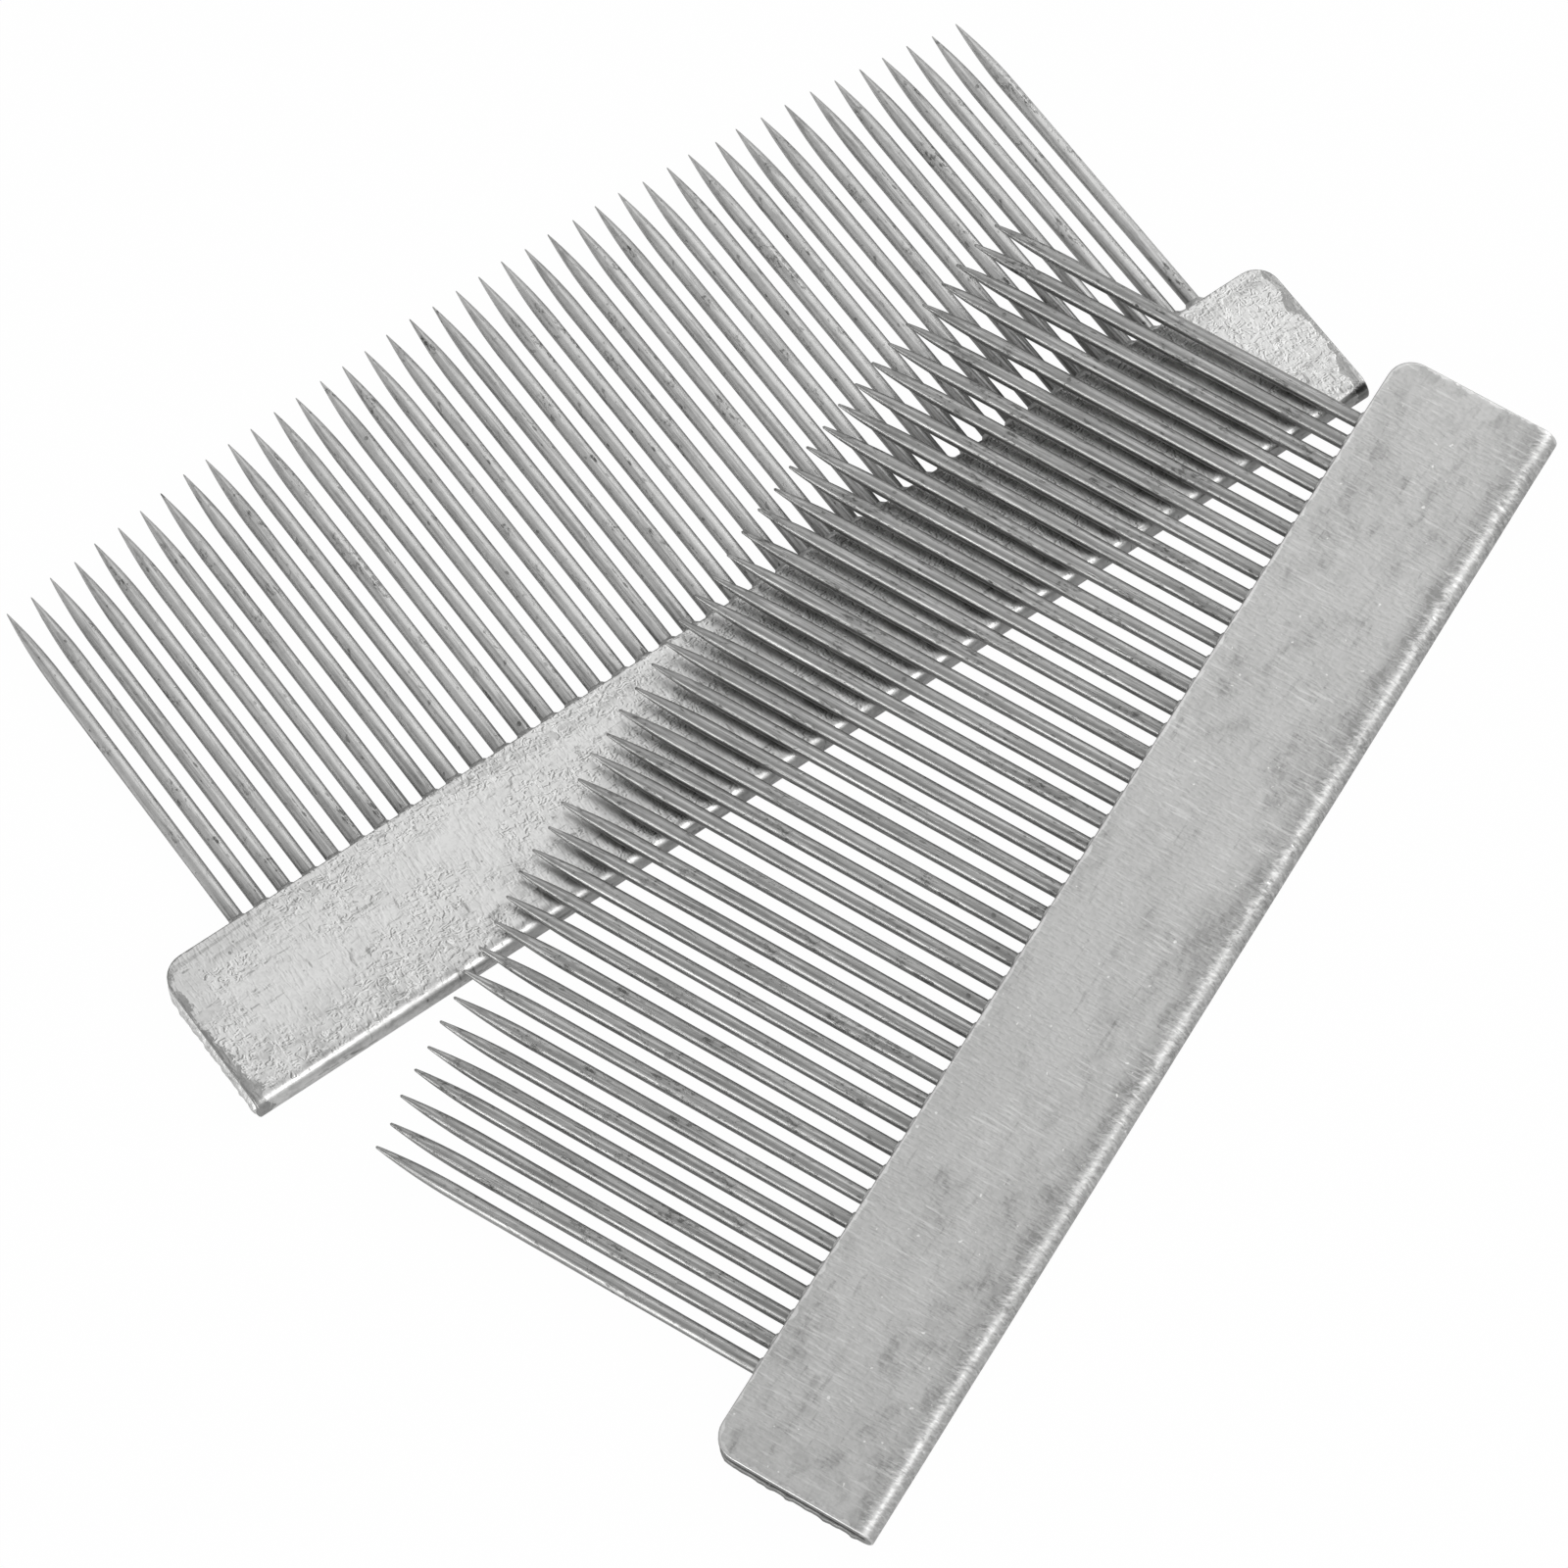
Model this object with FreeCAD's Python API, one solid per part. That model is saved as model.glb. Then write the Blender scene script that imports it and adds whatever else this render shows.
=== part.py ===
"""A pair of steel wool combs: a folded sheet spine on each, holding one row of round, pointed needles.

Millimetres, +Z up. Each comb is built lying flat: spine along X, needles towards +Y, with the middle
of the spine's underside at the origin. The lower comb stays there. The upper comb lies across it,
with its needles on the lower spine's fold and the left corner of its own fold on the table.
"""
import FreeCAD, Part
import math
import os

from FreeCAD import Placement, Rotation, Vector

# Needles
needle_count = 42
needle_pitch = 3.5
needle_diameter = 1.95
needle_root = 15.0             # held length, from the spine's mouth inwards
needle_reach = 51.6            # free length of the first and last needle
needle_crown = 5.2             # how much further the middle of the row reaches
point_length = 11.5            # ground point of each needle
point_radius = 0.12            # blunt end of the point
needle_group = 2               # needles in one node

# Spine
sheet_thickness = 1.05
spine_width = 22.1             # from the mouth to the outside of the fold
margin_left = 11.85            # from the first needle's axis to the spine's left end
margin_right = 9.85            # from the last needle's axis to the spine's right end
corner_radius = 3.3            # plan corners of both sheets, at the mouth

# Solder between the sheets
solder_film = 0.1              # between a needle and either sheet
solder_depth = 12.0
solder_overrun = 3.0           # past the axes of the first and last needles
solder_lip = 0.25              # how far it stands out of the mouth
joint_gap = 0.02               # between the solder and what it holds

# The upper comb, as it lies on the lower one
upper_turn = 23.36             # degrees, seen from above
corner_setback = 4.5           # from its right end back to the lower spine's fold corner
corner_gap = 1.5               # from its mouth out to the same corner
rest_gap = 0.15                # between its needles and the lower spine

# Sizes that follow
needle_radius = needle_diameter / 2
slot_height = needle_diameter + 2 * solder_film
spine_height = slot_height + 2 * sheet_thickness
fold_radius = spine_height / 2
needle_z = spine_height / 2
row_length = (needle_count - 1) * needle_pitch
spine_length = margin_left + row_length + margin_right
left_end = -spine_length / 2
right_end = spine_length / 2
mouth_y = spine_width / 2
back_y = -spine_width / 2
fold_axis_y = back_y + fold_radius
first_needle_x = left_end + margin_left
last_needle_x = right_end - margin_right


def needle_x(index):
    """X of a needle's axis, counted from 0 at the left."""
    return first_needle_x + index * needle_pitch


def needle_length(index):
    """Free length of a needle: the points lie on a shallow arc, furthest out in mid-row."""
    across = 2 * index / (needle_count - 1) - 1
    return needle_reach + needle_crown * (1 - across ** 2)


def box(x_min, x_max, y_min, y_max, z_min, z_max):
    """A block between six planes."""
    size = (x_max - x_min, y_max - y_min, z_max - z_min)
    return Part.makeBox(*size, Vector(x_min, y_min, z_min))


def folded_slab(inset):
    """The spine's outside drawn in by inset: a slab whose back edge is a half round."""
    slab = box(left_end, right_end, fold_axis_y, mouth_y, inset, spine_height - inset)
    axis_start = Vector(left_end, fold_axis_y, needle_z)
    back = Part.makeCylinder(fold_radius - inset, spine_length, axis_start, Vector(1, 0, 0))
    return slab.fuse(back).removeSplitter()


def corner_waste(end_x, centre_x):
    """What rounding one corner at the mouth takes off both sheets."""
    centre_y = mouth_y - corner_radius
    x_min, x_max = sorted((end_x, centre_x))
    square = box(x_min, x_max, centre_y, mouth_y, 0, spine_height)
    return square.cut(Part.makeCylinder(corner_radius, spine_height, Vector(centre_x, centre_y, 0)))


def spine():
    """Sheet folded over along the back, open at the mouth and at both ends."""
    channel = folded_slab(0).cut(folded_slab(sheet_thickness))
    channel = channel.cut(corner_waste(left_end, left_end + corner_radius))
    return channel.cut(corner_waste(right_end, right_end - corner_radius))


def point_arc(shoulder_y):
    """Ground outline of a needle's point: an arc that runs tangent into the shank."""
    rise = needle_radius - point_radius
    arc_radius = (point_length ** 2 + rise ** 2) / (2 * rise)
    half_turn = math.asin(point_length / arc_radius) / 2
    along = arc_radius * math.sin(half_turn)
    drop = arc_radius * (1 - math.cos(half_turn))
    start = Vector(0, shoulder_y, needle_radius)
    middle = Vector(0, shoulder_y + along, needle_radius - drop)
    end = Vector(0, shoulder_y + point_length, point_radius)
    return Part.Arc(start, middle, end).toShape()


def needle(index):
    """A round needle along +Y, its root between the sheets and its point free."""
    root_y = mouth_y - needle_root
    tip_y = mouth_y + needle_length(index)
    shoulder_y = tip_y - point_length
    shank = [Vector(0, tip_y, point_radius), Vector(0, tip_y, 0), Vector(0, root_y, 0)]
    shank += [Vector(0, root_y, needle_radius), Vector(0, shoulder_y, needle_radius)]
    edges = [Part.makeLine(start, end) for start, end in zip(shank, shank[1:])]
    outline = Part.Wire(edges + [point_arc(shoulder_y)])
    solid = Part.Face(outline).revolve(Vector(0, 0, 0), Vector(0, 1, 0), 360)
    solid.translate(Vector(needle_x(index), 0, needle_z))
    return solid


def solder_bore(index):
    """Room for one needle root, right through the solder."""
    start = Vector(needle_x(index), mouth_y - solder_depth, needle_z)
    length = solder_depth + solder_lip
    return Part.makeCylinder(needle_radius + joint_gap, length, start, Vector(0, 1, 0))


def solder():
    """Strip between the sheets, bored for every needle root, with a lip out of the mouth."""
    strip = box(
        first_needle_x - solder_overrun,
        last_needle_x + solder_overrun,
        mouth_y - solder_depth,
        mouth_y + solder_lip,
        sheet_thickness + joint_gap,
        spine_height - sheet_thickness - joint_gap,
    )
    return strip.cut(Part.makeCompound([solder_bore(index) for index in range(needle_count)]))


def comb_nodes(name):
    """Every node of one comb lying flat, by node name."""
    nodes = {f"{name}_spine": spine(), f"{name}_solder": solder()}
    for first in range(0, needle_count, needle_group):
        last = min(first + needle_group, needle_count)
        group = [needle(index) for index in range(first, last)]
        nodes[f"{name}_needles_{first + 1:02d}_{last:02d}"] = Part.makeCompound(group)
    return nodes


def upper_turned():
    """The upper comb's place in plan: the lower spine's right fold corner is just off its mouth."""
    turned = Rotation(Vector(0, 0, 1), upper_turn)
    corner = Vector(right_end, back_y, 0)
    corner_from_upper = Vector(right_end - corner_setback, mouth_y + corner_gap, 0)
    return Placement(corner - turned.multVec(corner_from_upper), turned)


def upper_placement():
    """Where the upper comb comes to rest.

    The undersides of its needles lie along the top of the lower spine's fold, a line parallel
    to X. It leans about that line, until the left end of its own fold meets the table.
    """
    in_plan = upper_turned()
    line_z = spine_height + rest_gap
    reach = fold_axis_y - in_plan.multVec(Vector(left_end, fold_axis_y, 0)).y
    arm = math.hypot(reach, needle_radius)
    lean = math.asin((line_z - fold_radius) / arm) + math.atan2(needle_radius, reach)
    raised = Placement(Vector(0, 0, line_z + needle_radius - needle_z), Rotation())
    about_line = Rotation(Vector(1, 0, 0), math.degrees(lean))
    leaning = Placement(Vector(0, 0, 0), about_line, Vector(0, fold_axis_y, line_z))
    return leaning.multiply(raised).multiply(in_plan)


def main():
    """Write one STEP file for each node of both combs."""
    os.makedirs("parts", exist_ok=True)
    for name, shape in comb_nodes("lower").items():
        shape.exportStep(f"parts/{name}.step")
    at_rest = upper_placement().toMatrix()
    for name, shape in comb_nodes("upper").items():
        shape.transformed(at_rest, True).exportStep(f"parts/{name}.step")


main()
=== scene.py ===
"""Looks of a pair of wool combs, one resting on the other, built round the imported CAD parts.

Each comb is built lying flat, in its own millimetres: spine along X, needles towards +Y, the middle
of the spine's underside at the origin. The upper comb's meshes are then laid in its resting place.
"""
import logging
import math
from collections.abc import Mapping, Sequence
from dataclasses import dataclass, replace
from enum import Enum
from typing import Any

import bpy
import numpy as np
from mathutils import Matrix, Vector, noise


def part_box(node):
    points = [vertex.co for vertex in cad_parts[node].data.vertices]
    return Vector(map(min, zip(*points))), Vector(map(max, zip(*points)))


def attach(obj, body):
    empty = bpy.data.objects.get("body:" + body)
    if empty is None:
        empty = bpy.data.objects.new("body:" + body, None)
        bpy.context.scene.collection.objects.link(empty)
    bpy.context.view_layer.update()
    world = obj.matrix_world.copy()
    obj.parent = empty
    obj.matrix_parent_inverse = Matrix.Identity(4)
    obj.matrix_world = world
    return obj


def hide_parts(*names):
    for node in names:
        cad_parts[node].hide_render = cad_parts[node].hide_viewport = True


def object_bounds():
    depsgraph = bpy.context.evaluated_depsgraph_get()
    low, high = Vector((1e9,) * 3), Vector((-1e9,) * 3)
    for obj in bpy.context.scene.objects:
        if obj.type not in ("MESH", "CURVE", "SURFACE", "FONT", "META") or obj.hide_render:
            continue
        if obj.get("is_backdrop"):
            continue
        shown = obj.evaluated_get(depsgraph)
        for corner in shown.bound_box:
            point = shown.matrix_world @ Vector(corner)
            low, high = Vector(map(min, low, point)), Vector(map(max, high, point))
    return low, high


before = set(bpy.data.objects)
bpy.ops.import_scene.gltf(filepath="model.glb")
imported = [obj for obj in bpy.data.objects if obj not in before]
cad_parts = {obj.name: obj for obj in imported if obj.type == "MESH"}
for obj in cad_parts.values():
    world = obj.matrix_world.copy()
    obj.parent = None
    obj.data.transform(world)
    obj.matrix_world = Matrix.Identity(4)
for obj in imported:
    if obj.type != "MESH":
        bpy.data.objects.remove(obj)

log = logging.getLogger("wool_combs")

MM = 0.001
PLACE = "comb_position"        # vector in mm, in the comb's own flat frame
SHEET = "sheet_position"       # vector in mm: X, and the way across the sheet from its upper edge
EDGE = "sheet_edge"            # mm to the sheet's cut edge; below 0 on the cut and on the inside
WIRE = "wire_position"         # vector in mm, from the needle's own axis
TONE = "needle_tone"           # one random number for each needle, 0 to 1
BEAD = "bead_face"             # 1 on the face of a solder seam's bead, 0 elsewhere
GROWTH = "needle_growth"       # how much longer one needle is than the shortest
BOW = "needle_bow"             # how far one needle's tip is off to the side
SCRATCH = (BEAD, GROWTH, BOW)  # what only the Geometry Nodes trees need
SOCKETS = {int: "NodeSocketInt", float: "NodeSocketFloat", bpy.types.Material: "NodeSocketMaterial"}
COLOUR_A, COLOUR_B, COLOUR = 6, 7, 2         # Mix: its sockets for colours, by number
LOW, HIGH, SEED, NUMBER = 2, 3, 8, 1         # Random Value: its sockets for floats, by number
NOISE_MIDDLE = 0.5             # what noise from 0 to 1 varies about
SEED_STEP = (7.3, 3.1, 5.7)    # pattern lengths that one seed lies from the next
BUMP_STRENGTH = 0.8            # share of a finish's relief that its shading shows
UPPER_REACH_MORE = 0.85        # mm that the upper comb's points reach past the plain needle's
LOWER_REACH_LESS = 0.6         # mm that the lower comb's finer points are worn back
UPPER_ROW_SHIFT = 0.13         # mm that the upper comb's row sits to the left


class CombName(Enum):
    """Which of the pair a comb is; the values are the CAD bodies' and nodes' first words."""

    LOWER = "lower"
    UPPER = "upper"


def linear(hex_colour: str) -> tuple[float, float, float, float]:
    """Turn an sRGB hex value such as '#C8C8C8' into linear colour.

    Args:
        hex_colour: The colour as # and six hex digits.

    Returns:
        Red, green, blue and an alpha of 1.
    """
    channels = [int(hex_colour[start : start + 2], 16) / 255 for start in (1, 3, 5)]
    red, green, blue = (
        c / 12.92 if c <= 0.04045 else ((c + 0.055) / 1.055) ** 2.4 for c in channels
    )
    return (red, green, blue, 1.0)


def add_node(
    tree: bpy.types.NodeTree,
    kind: str,
    *inputs: Any,
    feeds: Mapping[int | str, Any] | None = None,
    output: int | str = 0,
    **settings: Any,
) -> bpy.types.NodeSocket | None:
    """Add one node to a tree, set it up and feed its inputs.

    Args:
        tree: The node tree that it goes into.
        kind: The node's type, such as ShaderNodeMath.
        inputs: What its first inputs get, in order: a socket to link, or a plain value.
        feeds: What other inputs get, by name or number.
        output: The output to hand back, by name or number.
        settings: The node's own properties.

    Returns:
        The chosen output socket, or None for a node that has no outputs.
    """
    node = tree.nodes.new(kind)
    for name, value in settings.items():
        setattr(node, name, value)
    for key, value in [*enumerate(inputs), *(feeds or {}).items()]:
        if isinstance(value, bpy.types.NodeSocket):
            tree.links.new(value, node.inputs[key])
        else:
            node.inputs[key].default_value = value
    return node.outputs[output] if len(node.outputs) else None


# --------------------------------------------------------------------------------------------
# Sizes
# --------------------------------------------------------------------------------------------


@dataclass(frozen=True)
class CombSizes:
    """Sizes of one comb in mm: the CAD boxes give the first five, the rest are named here."""

    spine_length: float
    spine_width: float
    spine_height: float
    needle_diameter: float
    first_needle_x: float
    sheet_thickness: float = 1.05
    corner_radius: float = 3.3
    needle_count: int = 42
    needle_pitch: float = 3.5
    needle_root: float = 15.0
    needle_reach: float = 51.6
    needle_crown: float = 5.2
    point_length: float = 11.5
    point_radius: float = 0.12

    @classmethod
    def from_frame(cls) -> "CombSizes":
        """Read the driving sizes off the lower comb's CAD nodes.

        Returns:
            The sizes, in mm.
        """
        low, high = (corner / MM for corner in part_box("lower_spine"))
        first_low, first_high = (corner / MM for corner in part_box("lower_needles_01_02"))
        diameter = first_high.z - first_low.z
        size = high - low
        return cls(size.x, size.y, size.z, diameter, first_low.x + diameter / 2)

    @property
    def needle_radius(self) -> float:
        """Half of the wire's diameter."""
        return self.needle_diameter / 2

    @property
    def left_end(self) -> float:
        """X of the spine's left end."""
        return -self.spine_length / 2

    @property
    def right_end(self) -> float:
        """X of the spine's right end."""
        return self.spine_length / 2

    @property
    def mouth_y(self) -> float:
        """Y of the spine's open side."""
        return self.spine_width / 2

    @property
    def fold_radius(self) -> float:
        """Outside radius of the fold."""
        return self.spine_height / 2

    @property
    def fold_axis_y(self) -> float:
        """Y of the fold's axis."""
        return self.fold_radius - self.spine_width / 2

    @property
    def row_length(self) -> float:
        """From the first needle's axis to the last one's."""
        return (self.needle_count - 1) * self.needle_pitch

    @property
    def flat_run(self) -> float:
        """Flat part of each sheet, from the mouth to the fold's axis."""
        return self.mouth_y - self.fold_axis_y

    @property
    def fold_run(self) -> float:
        """Length of the fold along the middle of the sheet."""
        return math.pi * (self.fold_radius - self.sheet_thickness / 2)

    @property
    def sheet_run(self) -> float:
        """Width of the flat blank, from one mouth edge to the other."""
        return 2 * self.flat_run + self.fold_run


@dataclass(frozen=True)
class UpperRest:
    """Where the upper comb lies, in millimetres and degrees.

    The undersides of its needles lie on the lower spine's fold, and the left corner of its own
    fold on the table.
    """

    turn: float = 23.36
    corner_setback: float = 4.5
    corner_gap: float = 1.5
    rest_gap: float = 0.15

    def placement(self, sizes: CombSizes) -> Matrix:
        """Work out the place from the combs' sizes.

        Args:
            sizes: The sizes that both combs share.

        Returns:
            The matrix from the comb's flat frame to its place, both in metres.
        """
        turned = Matrix.Rotation(math.radians(self.turn), 4, "Z")
        corner = Vector((sizes.right_end, -sizes.mouth_y, 0))
        own_corner = (sizes.right_end - self.corner_setback, sizes.mouth_y + self.corner_gap, 0)
        in_plan = Matrix.Translation(corner - turned @ Vector(own_corner)) @ turned
        line_z = sizes.spine_height + self.rest_gap
        fold_end = in_plan @ Vector((sizes.left_end, sizes.fold_axis_y, 0))
        reach = sizes.fold_axis_y - fold_end.y
        arm = math.hypot(reach, sizes.needle_radius)
        lean = math.asin((line_z - sizes.fold_radius) / arm)
        lean += math.atan2(sizes.needle_radius, reach)
        raised = Matrix.Translation((0, 0, line_z + sizes.needle_radius - sizes.fold_radius))
        line = Matrix.Translation((0, sizes.fold_axis_y, line_z))
        leaning = line @ Matrix.Rotation(lean, 4, "X") @ line.inverted()
        place = leaning @ raised @ in_plan
        place.translation *= MM
        return place


# --------------------------------------------------------------------------------------------
# Finishes
# --------------------------------------------------------------------------------------------


@dataclass(frozen=True)
class Marks:
    """One layer of marks in a surface, drawn from noise.

    The size is the way from one mark to the next, in mm along each axis of the pattern. A mark
    begins where the noise passes one level and is fully there at the other. Veins run as thin
    lines along the noise's middle level, and their two levels are counted from there.
    """

    size: tuple[float, float, float]
    begins: float
    full: float
    detail: float = 3.0
    grit: float = 0.5                 # how strong each finer octave of the noise is
    warp: float = 0.0
    turn: float = 0.0                 # degrees in the sheet's plane
    nudge: float = 0.0                # mm aside, for a painted highlight on the flank of a dark mark
    seed: float = 0.0
    vein: bool = False

    def lay(
        self,
        tree: bpy.types.NodeTree,
        place: bpy.types.NodeSocket,
        within: bpy.types.NodeSocket | None = None,
    ) -> bpy.types.NodeSocket:
        """Lay the marks on a surface.

        Args:
            tree: The material's tree.
            place: The surface's own coordinates, in mm.
            within: Where the marks may be, from 0 to 1; everywhere if left out.

        Returns:
            How strongly each place is marked, from 0 to 1.
        """
        step_x, step_y, step_z = SEED_STEP
        shift_x, shift_y = self.seed * step_x + self.nudge, self.seed * step_y + self.nudge
        away = (shift_x, shift_y, self.seed * step_z)
        turned = (0.0, 0.0, math.radians(self.turn))
        placed = add_node(
            tree,
            "ShaderNodeMapping",
            feeds={"Vector": place, "Location": away, "Rotation": turned, "Scale": self.size},
            vector_type="TEXTURE",
        )
        level = add_node(
            tree,
            "ShaderNodeTexNoise",
            feeds={
                "Vector": placed, "Scale": 1.0, "Detail": self.detail, "Roughness": self.grit,
                "Distortion": self.warp,
            },
        )
        if self.vein:
            level = add_node(tree, "ShaderNodeMath", level, NOISE_MIDDLE, operation="SUBTRACT")
            level = add_node(tree, "ShaderNodeMath", level, operation="ABSOLUTE")
        most = 1.0 if within is None else within
        return add_node(
            tree,
            "ShaderNodeMapRange",
            feeds={"Value": level, "From Min": self.begins, "From Max": self.full, "To Max": most},
            interpolation_type="SMOOTHSTEP",
        )


def add_up(
    tree: bpy.types.NodeTree,
    layers: Sequence[tuple[bpy.types.NodeSocket, float]],
    base: bpy.types.NodeSocket | float = 0.0,
) -> bpy.types.NodeSocket:
    """Add layers together, each at its own weight.

    Args:
        tree: The material's tree.
        layers: Each layer with its weight.
        base: What the sum starts from.

    Returns:
        The sum.
    """
    total: Any = base
    for layer, weight in layers:
        total = add_node(tree, "ShaderNodeMath", layer, weight, total, operation="MULTIPLY_ADD")
    return total


@dataclass(frozen=True)
class Zone:
    """A stretch of a surface, in mm: nothing of it at one distance, all of it at the other."""

    nothing: float
    full: float

    def lay(
        self, tree: bpy.types.NodeTree, distance: bpy.types.NodeSocket
    ) -> bpy.types.NodeSocket:
        """Work out each place's share of the zone.

        Args:
            tree: The material's tree.
            distance: What the zone is measured by, in mm.

        Returns:
            The share, from 0 to 1, with a smooth edge.
        """
        return add_node(
            tree,
            "ShaderNodeMapRange",
            feeds={"Value": distance, "From Min": self.nothing, "From Max": self.full},
            interpolation_type="SMOOTHSTEP",
        )


@dataclass(frozen=True)
class Metal:
    """What every metal finish shares: three greys, and a Principled shader at full metallic."""

    name: str
    colour: str = "#B8B8B7"
    dark: str = "#8E8E8D"
    light: str = "#E6E6E5"
    roughness: float = 0.34

    def begin(self) -> tuple[bpy.types.Material, bpy.types.NodeTree]:
        """Start an empty material.

        Returns:
            The material and its node tree, with nothing in it.
        """
        made = bpy.data.materials.new(self.name)
        made.use_nodes = True
        made.node_tree.nodes.clear()
        return made, made.node_tree

    def off_fold(
        self, tree: bpy.types.NodeTree, place: bpy.types.NodeSocket, sizes: CombSizes
    ) -> bpy.types.NodeSocket:
        """Measure how far each place is from the fold, on either face of the sheet.

        Args:
            tree: The material's tree.
            place: The sheet's own coordinates, in mm.
            sizes: The comb's sizes.

        Returns:
            Distance from where the sheet starts to bend, in mm; less than 0 on the fold.
        """
        across = add_node(tree, "ShaderNodeSeparateXYZ", place, output="Y")
        middle = sizes.sheet_run / 2
        away = add_node(tree, "ShaderNodeMath", across, middle, operation="SUBTRACT")
        away = add_node(tree, "ShaderNodeMath", away, operation="ABSOLUTE")
        half = sizes.fold_run / 2
        return add_node(tree, "ShaderNodeMath", away, half, operation="SUBTRACT")

    def tint(
        self,
        tree: bpy.types.NodeTree,
        darker: bpy.types.NodeSocket,
        lighter: bpy.types.NodeSocket,
    ) -> bpy.types.NodeSocket:
        """Mix the finish's three greys.

        Args:
            tree: The material's tree.
            darker: How far each place goes from the plain grey to the dark one.
            lighter: How far it then goes to the light one.

        Returns:
            The colour.
        """
        colour: Any = linear(self.colour)
        for share, grey in ((darker, self.dark), (lighter, self.light)):
            feeds = {COLOUR_A: colour, COLOUR_B: linear(grey)}
            colour = add_node(
                tree, "ShaderNodeMix", share, feeds=feeds, data_type="RGBA", output=COLOUR
            )
        return colour

    def close(
        self,
        tree: bpy.types.NodeTree,
        colour: bpy.types.NodeSocket,
        duller: bpy.types.NodeSocket,
        relief: bpy.types.NodeSocket,
        depth: float,
    ) -> None:
        """Feed the shader and the output.

        Args:
            tree: The material's tree.
            colour: Base colour.
            duller: What is added to the finish's roughness.
            relief: Height of the surface, where 1 is the whole depth.
            depth: Depth of the relief, in mm.
        """
        rough = add_node(
            tree, "ShaderNodeMath", duller, self.roughness, operation="ADD", use_clamp=True
        )
        feeds = {"Strength": BUMP_STRENGTH, "Distance": depth * MM, "Height": relief}
        normal = add_node(tree, "ShaderNodeBump", feeds=feeds)
        feeds = {"Base Color": colour, "Metallic": 1.0, "Roughness": rough, "Normal": normal}
        shader = add_node(tree, "ShaderNodeBsdfPrincipled", feeds=feeds)
        add_node(tree, "ShaderNodeOutputMaterial", feeds={"Surface": shader})


@dataclass(frozen=True)
class DrawnWire(Metal):
    """Hard steel wire, drawn through a die and left grey, with a ground point.

    The die leaves fine lines along the wire and a satin sheen; handling adds dull gritty patches,
    nicks and dark flecks. The lines are coarser than a real die's, so that they show.
    """

    dark: str = "#5C5C5B"
    light: str = "#E2E2E1"
    roughness: float = 0.33
    rooted: float = 0.30              # how much darker the wire is where the solder's heat reached
    rooted_length: float = 9.0        # mm out of the mouth
    apart: float = 613.0              # mm, the most that one needle's pattern lies past another's
    dark_lines: Marks = Marks((0.38, 10.0, 0.38), 0.50, 0.60, detail=4.0, grit=0.6, seed=1)
    light_lines: Marks = Marks((0.34, 13.0, 0.34), 0.52, 0.62, detail=4.0, grit=0.6, seed=2)
    grain: Marks = Marks((0.50, 0.85, 0.50), 0.47, 0.60, detail=4.0, grit=0.65, seed=3)
    flecks: Marks = Marks((0.70, 1.20, 0.70), 0.69, 0.73, detail=1.0, seed=4)
    patches: Marks = Marks((2.6, 7.0, 2.6), 0.57, 0.63, detail=5.0, grit=0.6, seed=5)
    nicks: Marks = Marks((1.6, 5.5, 1.6), 0.016, 0.006, detail=0.0, warp=1.5, seed=6, vein=True)

    def material(self, sizes: CombSizes) -> bpy.types.Material:
        """Make the finish.

        Args:
            sizes: The comb's sizes, for where the held part ends.

        Returns:
            The material.
        """
        made, tree = self.begin()
        place = add_node(tree, "ShaderNodeAttribute", attribute_name=WIRE, output="Vector")
        tone = add_node(tree, "ShaderNodeAttribute", attribute_name=TONE, output="Fac")
        along = add_node(tree, "ShaderNodeMath", tone, self.apart, operation="MULTIPLY")
        shift = add_node(tree, "ShaderNodeCombineXYZ", feeds={"Y": along})
        own = add_node(tree, "ShaderNodeVectorMath", place, shift, operation="ADD")
        y = add_node(tree, "ShaderNodeSeparateXYZ", place, output="Y")
        heated = Zone(sizes.mouth_y + self.rooted_length, sizes.mouth_y).lay(tree, y)

        dark_lines = self.dark_lines.lay(tree, own)
        light_lines = self.light_lines.lay(tree, own)
        grain = self.grain.lay(tree, own)
        flecks = self.flecks.lay(tree, own)
        patches = self.patches.lay(tree, own)
        gritty = self.grain.lay(tree, own, patches)
        nicks = self.nicks.lay(tree, own, self.patches.lay(tree, place))
        darker = add_up(
            tree,
            [
                (heated, self.rooted), (dark_lines, 0.30), (grain, 0.10), (gritty, 0.48),
                (patches, 0.08), (flecks, 0.42), (nicks, 0.42), (tone, 0.10),
            ],
        )
        lighter = add_up(tree, [(light_lines, 0.34)])
        duller = add_up(tree, [(patches, 0.10), (dark_lines, 0.05), (heated, 0.06)])
        relief = add_up(
            tree,
            [(dark_lines, -0.1), (light_lines, 0.1), (grain, -0.02), (gritty, -0.6), (nicks, -0.9)],
        )
        self.close(tree, self.tint(tree, darker, lighter), duller, relief, depth=0.035)
        return made


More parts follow.
